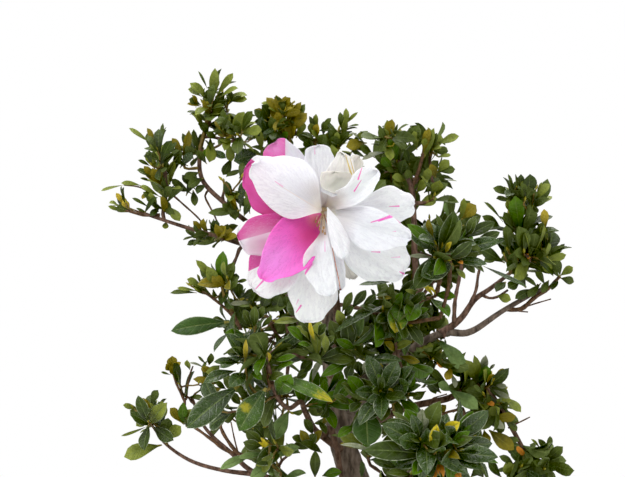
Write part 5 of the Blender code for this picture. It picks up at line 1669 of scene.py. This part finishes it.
def make_bloom():
    for name in PETALS:
        make_petal(name)
    patch = Patchwork()
    for places in STAMENS:
        route = add_thread(patch, places, 0.13, 0)
        add_knob(patch, route[-1], (route[-1] - route[-3]).normalized(), ANTHER_RINGS, 1)
    route = add_thread(patch, PISTIL, 0.2, 2)
    add_knob(patch, route[-1], (route[-1] - route[-2]).normalized(), STIGMA_RINGS, 3)
    add_knob(patch, BLOOM, -TO_VIEWER, FLOOR_RINGS, 4, sides=16)
    patch.place("stamens", [FILAMENT, ANTHER, STYLE, STIGMA, THROAT_FLOOR], "petal", ["bloom"])
    patch = Patchwork()
    route = [BLOOM + (Vector((0, back, 0)) + TUBE_DRIFT * (back / TUBE[-1][0])) * MM for back, _ in TUBE]
    add_tube(patch, route, [radius * MM for _, radius in TUBE], 0, 20, drawn_in=True)
    patch.place("flower_tube", [CALYX], "petal", ["bloom"])


# ---------------------------------------------------------------- pot and soil

# The pot, in mm
POT_HEIGHT = 62
POT_RIM_RADIUS = 75
POT_LIP_DEPTH = 9
POT_LIP_OVERHANG = 3
POT_FOOT_RADIUS = 55
POT_WALL = 6
POT_FLOOR = 7
POT_EDGE_RADIUS = 1.5
POT_SIDES = 144
DRAIN_HOLES = 3
DRAIN_RADIUS = 5
DRAIN_CIRCLE = 27
# The soil and the grains on it, in mm
SOIL_LEVEL = 60
SOIL_EDGE_DROP = 1.5
SOIL_FLAT_RADIUS = 30
# Room between the soil and the pot's wall
SOIL_GAP = 0.9
GRAIN_COUNT = 1900
GRAIN_RADIUS = (0.7, 1.7)
GRAIN_FINISH_SHARES = (5, 4, 2)


def stoneware():
    """Wheel-thrown stoneware: a dark iron glaze that thins to tan where it runs off the lip's edge, brown
    specks of iron in it, and bare toasted clay at the foot. Its sheen is broken by fine throwing rings."""
    material, tree, shader = finish_of("stoneware", Specular_IOR_Level=0.5, IOR=1.5)
    place = add(tree, "TexCoord", out="Object")
    height = add(tree, "SeparateXYZ", {0: place}, out="Z")
    pooled = add(tree, "TexNoise", {"Vector": place, "Scale": per_mm(14), "Detail": 4.0})
    specks = add(tree, "TexNoise", {"Vector": place, "Scale": per_mm(1.1), "Detail": 2.0})
    colour = add(tree, "Mix", {0: pooled, LOW: linear("#2E1D16"), HIGH: linear("#6B4936")}, **COLOURS)
    iron = add(tree, "MapRange", {0: specks, "From Min": 0.62, "From Max": 0.68, "To Max": 0.7})
    colour = add(tree, "Mix", {0: iron, LOW: colour, HIGH: linear("#1C120D")}, **COLOURS)
    wavy = add(tree, "Math", {0: pooled, 1: 4 * MM, 2: height}, operation="MULTIPLY_ADD")
    thin = add(tree, "MapRange", {0: wavy, "From Min": 62.4 * MM, "From Max": 64.2 * MM})
    colour = add(tree, "Mix", {0: thin, LOW: colour, HIGH: linear("#A27A54")}, **COLOURS)
    bare = add(tree, "MapRange", {0: wavy, "From Min": 8.6 * MM, "From Max": 7.6 * MM})
    colour = add(tree, "Mix", {0: bare, LOW: colour, HIGH: linear("#8C6242")}, **COLOURS)
    tree.links.new(colour, shader.inputs["Base Color"])
    dull = add(tree, "MapRange", {0: bare, "To Min": 0.32, "To Max": 0.85})
    tree.links.new(dull, shader.inputs["Roughness"])
    bump = add(tree, "Bump", {"Height": specks, "Strength": 0.25, "Distance": 0.15 * MM})
    tree.links.new(bump, shader.inputs["Normal"])
    return material


def wall_radius(height):
    """The pot's outer radius below its lip: a steep-sided bowl."""
    share = height / (POT_HEIGHT - POT_LIP_DEPTH)
    under_lip = POT_RIM_RADIUS - POT_LIP_OVERHANG
    return POT_FOOT_RADIUS + (under_lip - POT_FOOT_RADIUS) * math.sin(share * math.pi / 2) ** 0.9


def turned_mesh(name, profile, sides, finish):
    """A profile of (radius, height) in mm, closed on itself, turned about the upright axis."""
    points = [
        (radius * MM * math.cos(turn), radius * MM * math.sin(turn), height * MM)
        for radius, height in profile + profile[:1]
        for turn in round_turns(sides)
    ]
    patch = Patchwork()
    patch.add(points, grid_quads(len(profile) + 1, sides, closed=True)[:, ::-1])
    mesh = patch.mesh(name, [finish])
    shape = bmesh.new()
    shape.from_mesh(mesh)
    bmesh.ops.remove_doubles(shape, verts=shape.verts, dist=0.001 * MM)
    bmesh.ops.recalc_face_normals(shape, faces=shape.faces)
    shape.to_mesh(mesh)
    shape.free()
    return mesh


def pot_profile():
    """Up the outside from the foot, over the lip, down the inside and across the floor."""
    lip_foot = POT_HEIGHT - POT_LIP_DEPTH
    steps = 60
    outside = []
    for i in range(steps + 1):
        height = lip_foot * i / steps
        ring = 0.12 * noise.noise(Vector((0, 3, height * 0.9))) if 0 < i < steps else 0
        outside.append((wall_radius(height) + ring, height))
    rim, edge = POT_RIM_RADIUS, POT_EDGE_RADIUS
    lip = [(rim - 0.4, lip_foot + 0.3), (rim, lip_foot + edge), (rim - 0.15, lip_foot + 4)]
    lip.append((rim, POT_HEIGHT - edge))
    for corner, start in ((rim - edge, 0), (rim - POT_WALL + edge, math.pi / 2)):
        for i in range(1, 6):
            turn = start + math.pi / 2 * i / 5
            lip.append((corner + edge * math.cos(turn), POT_HEIGHT - edge + edge * math.sin(turn)))
    inside = [(wall_radius(h) - POT_WALL, h) for _, h in outside[::-4] if h > POT_FLOOR]
    floor = [(wall_radius(POT_FLOOR) - POT_WALL, POT_FLOOR), (0, POT_FLOOR), (0, 0)]
    return outside + lip + inside + floor


def drill_at(place):
    """A cylinder that cuts one drain hole through the pot's floor."""
    shape = bmesh.new()
    radius = DRAIN_RADIUS * MM
    size = {"segments": 32, "radius1": radius, "radius2": radius, "depth": 4 * POT_FLOOR * MM}
    bmesh.ops.create_cone(shape, cap_ends=True, matrix=Matrix.Translation(place), **size)
    mesh = bpy.data.meshes.new("drain")
    shape.to_mesh(mesh)
    shape.free()
    return new_object("drain", mesh)


def make_pot():
    mesh = turned_mesh("pot", pot_profile(), POT_SIDES, stoneware())
    pot = place_piece("pot_body", mesh, ["pot"])
    drills = []
    for turn in round_turns(DRAIN_HOLES, start=0.5):
        drill = drill_at(Vector((math.cos(turn), math.sin(turn), 0)) * DRAIN_CIRCLE * MM)
        cut = pot.modifiers.new("drain", "BOOLEAN")
        cut.solver = "EXACT"
        cut.object = drill
        drills.append(drill)
    drilled = bpy.data.meshes.new_from_object(pot.evaluated_get(bpy.context.evaluated_depsgraph_get()))
    pot.modifiers.clear()
    pot.data = drilled
    for drill in drills:
        bpy.data.objects.remove(drill)


def soil_height(radius, x, y):
    """The soil's height in mm: flat round the trunk, lower at the wall, and lumpy."""
    edge = wall_radius(SOIL_LEVEL - POT_LIP_DEPTH) - POT_WALL
    drop = SOIL_EDGE_DROP * max(0.0, (radius - SOIL_FLAT_RADIUS) / (edge - SOIL_FLAT_RADIUS)) ** 1.5
    lumps = 0.7 * noise.noise(Vector((x, y, 0)) * 0.12) + 0.35 * noise.noise(Vector((x, y, 5)) * 0.5)
    return SOIL_LEVEL - drop + lumps


def make_soil_bed(wall):
    """A lumpy top, then the wall down to the bottom, a little clear of the pot."""
    sides, rings = 120, 46
    turns = round_turns(sides)
    points = []
    for ring in range(rings + 1):
        radius = wall * max(ring, 0.02) / rings
        for turn in turns:
            x, y = radius * math.cos(turn), radius * math.sin(turn)
            points.append((x * MM, y * MM, soil_height(radius, x, y) * MM))
    bottom = POT_FLOOR + SOIL_GAP
    for share in (0.0, 0.5, 1.0):
        height = mix(SOIL_LEVEL - POT_LIP_DEPTH, bottom, share)
        radius = wall_radius(height) - POT_WALL - SOIL_GAP
        points += [(radius * MM * math.cos(t), radius * MM * math.sin(t), height * MM) for t in turns]
    points += [(0, 0, bottom * MM)] * sides
    bed = Patchwork()
    bed.add(points, grid_quads(rings + 5, sides, closed=True))
    bed.place("soil_bed", [GRIT[0]], "soil", ["soil"])


def make_soil():
    """Loose potting grit: a lumpy bed with grains of three browns on it."""
    rng = random.Random(23)
    wall = wall_radius(POT_HEIGHT - POT_LIP_DEPTH) - POT_WALL - SOIL_GAP
    make_soil_bed(wall)
    grains = Patchwork()
    sides, levels = 6, 5
    quads = grid_quads(levels, sides, closed=True)
    for _ in range(GRAIN_COUNT):
        radius = (wall - 1.5) * math.sqrt(rng.random())
        turn = rng.uniform(0, 2 * math.pi)
        x, y = radius * math.cos(turn), radius * math.sin(turn)
        size = rng.uniform(*GRAIN_RADIUS)
        middle = Vector((x, y, min(soil_height(radius, x, y) + size * 0.1, POT_HEIGHT - 1 - size)))
        stretch = Vector([rng.uniform(0.7, 1.25) for _ in range(3)])
        spin = Matrix.Rotation(rng.uniform(0, 2 * math.pi), 3, stray(rng, 1).normalized())
        lumps = []
        for level in range(levels):
            tilt = math.pi * level / (levels - 1)
            wide, high = math.sin(tilt), math.cos(tilt)
            for side in round_turns(sides):
                way = Vector((wide * math.cos(side), wide * math.sin(side), high))
                lump = 1 + 0.45 * noise.noise(way * 1.1 + middle)
                lumps.append((middle + spin @ Vector(w * k * size * lump for w, k in zip(way, stretch))) * MM)
        grains.add(lumps, quads, rng.choices(range(3), weights=GRAIN_FINISH_SHARES)[0])
    grains.place("soil_grains", GRIT, "soil")


def main():
    make_camera()
    make_floor()
    make_light()
    make_limbs()
    make_crown()
    make_bloom()
    make_pot()
    make_soil()


main()
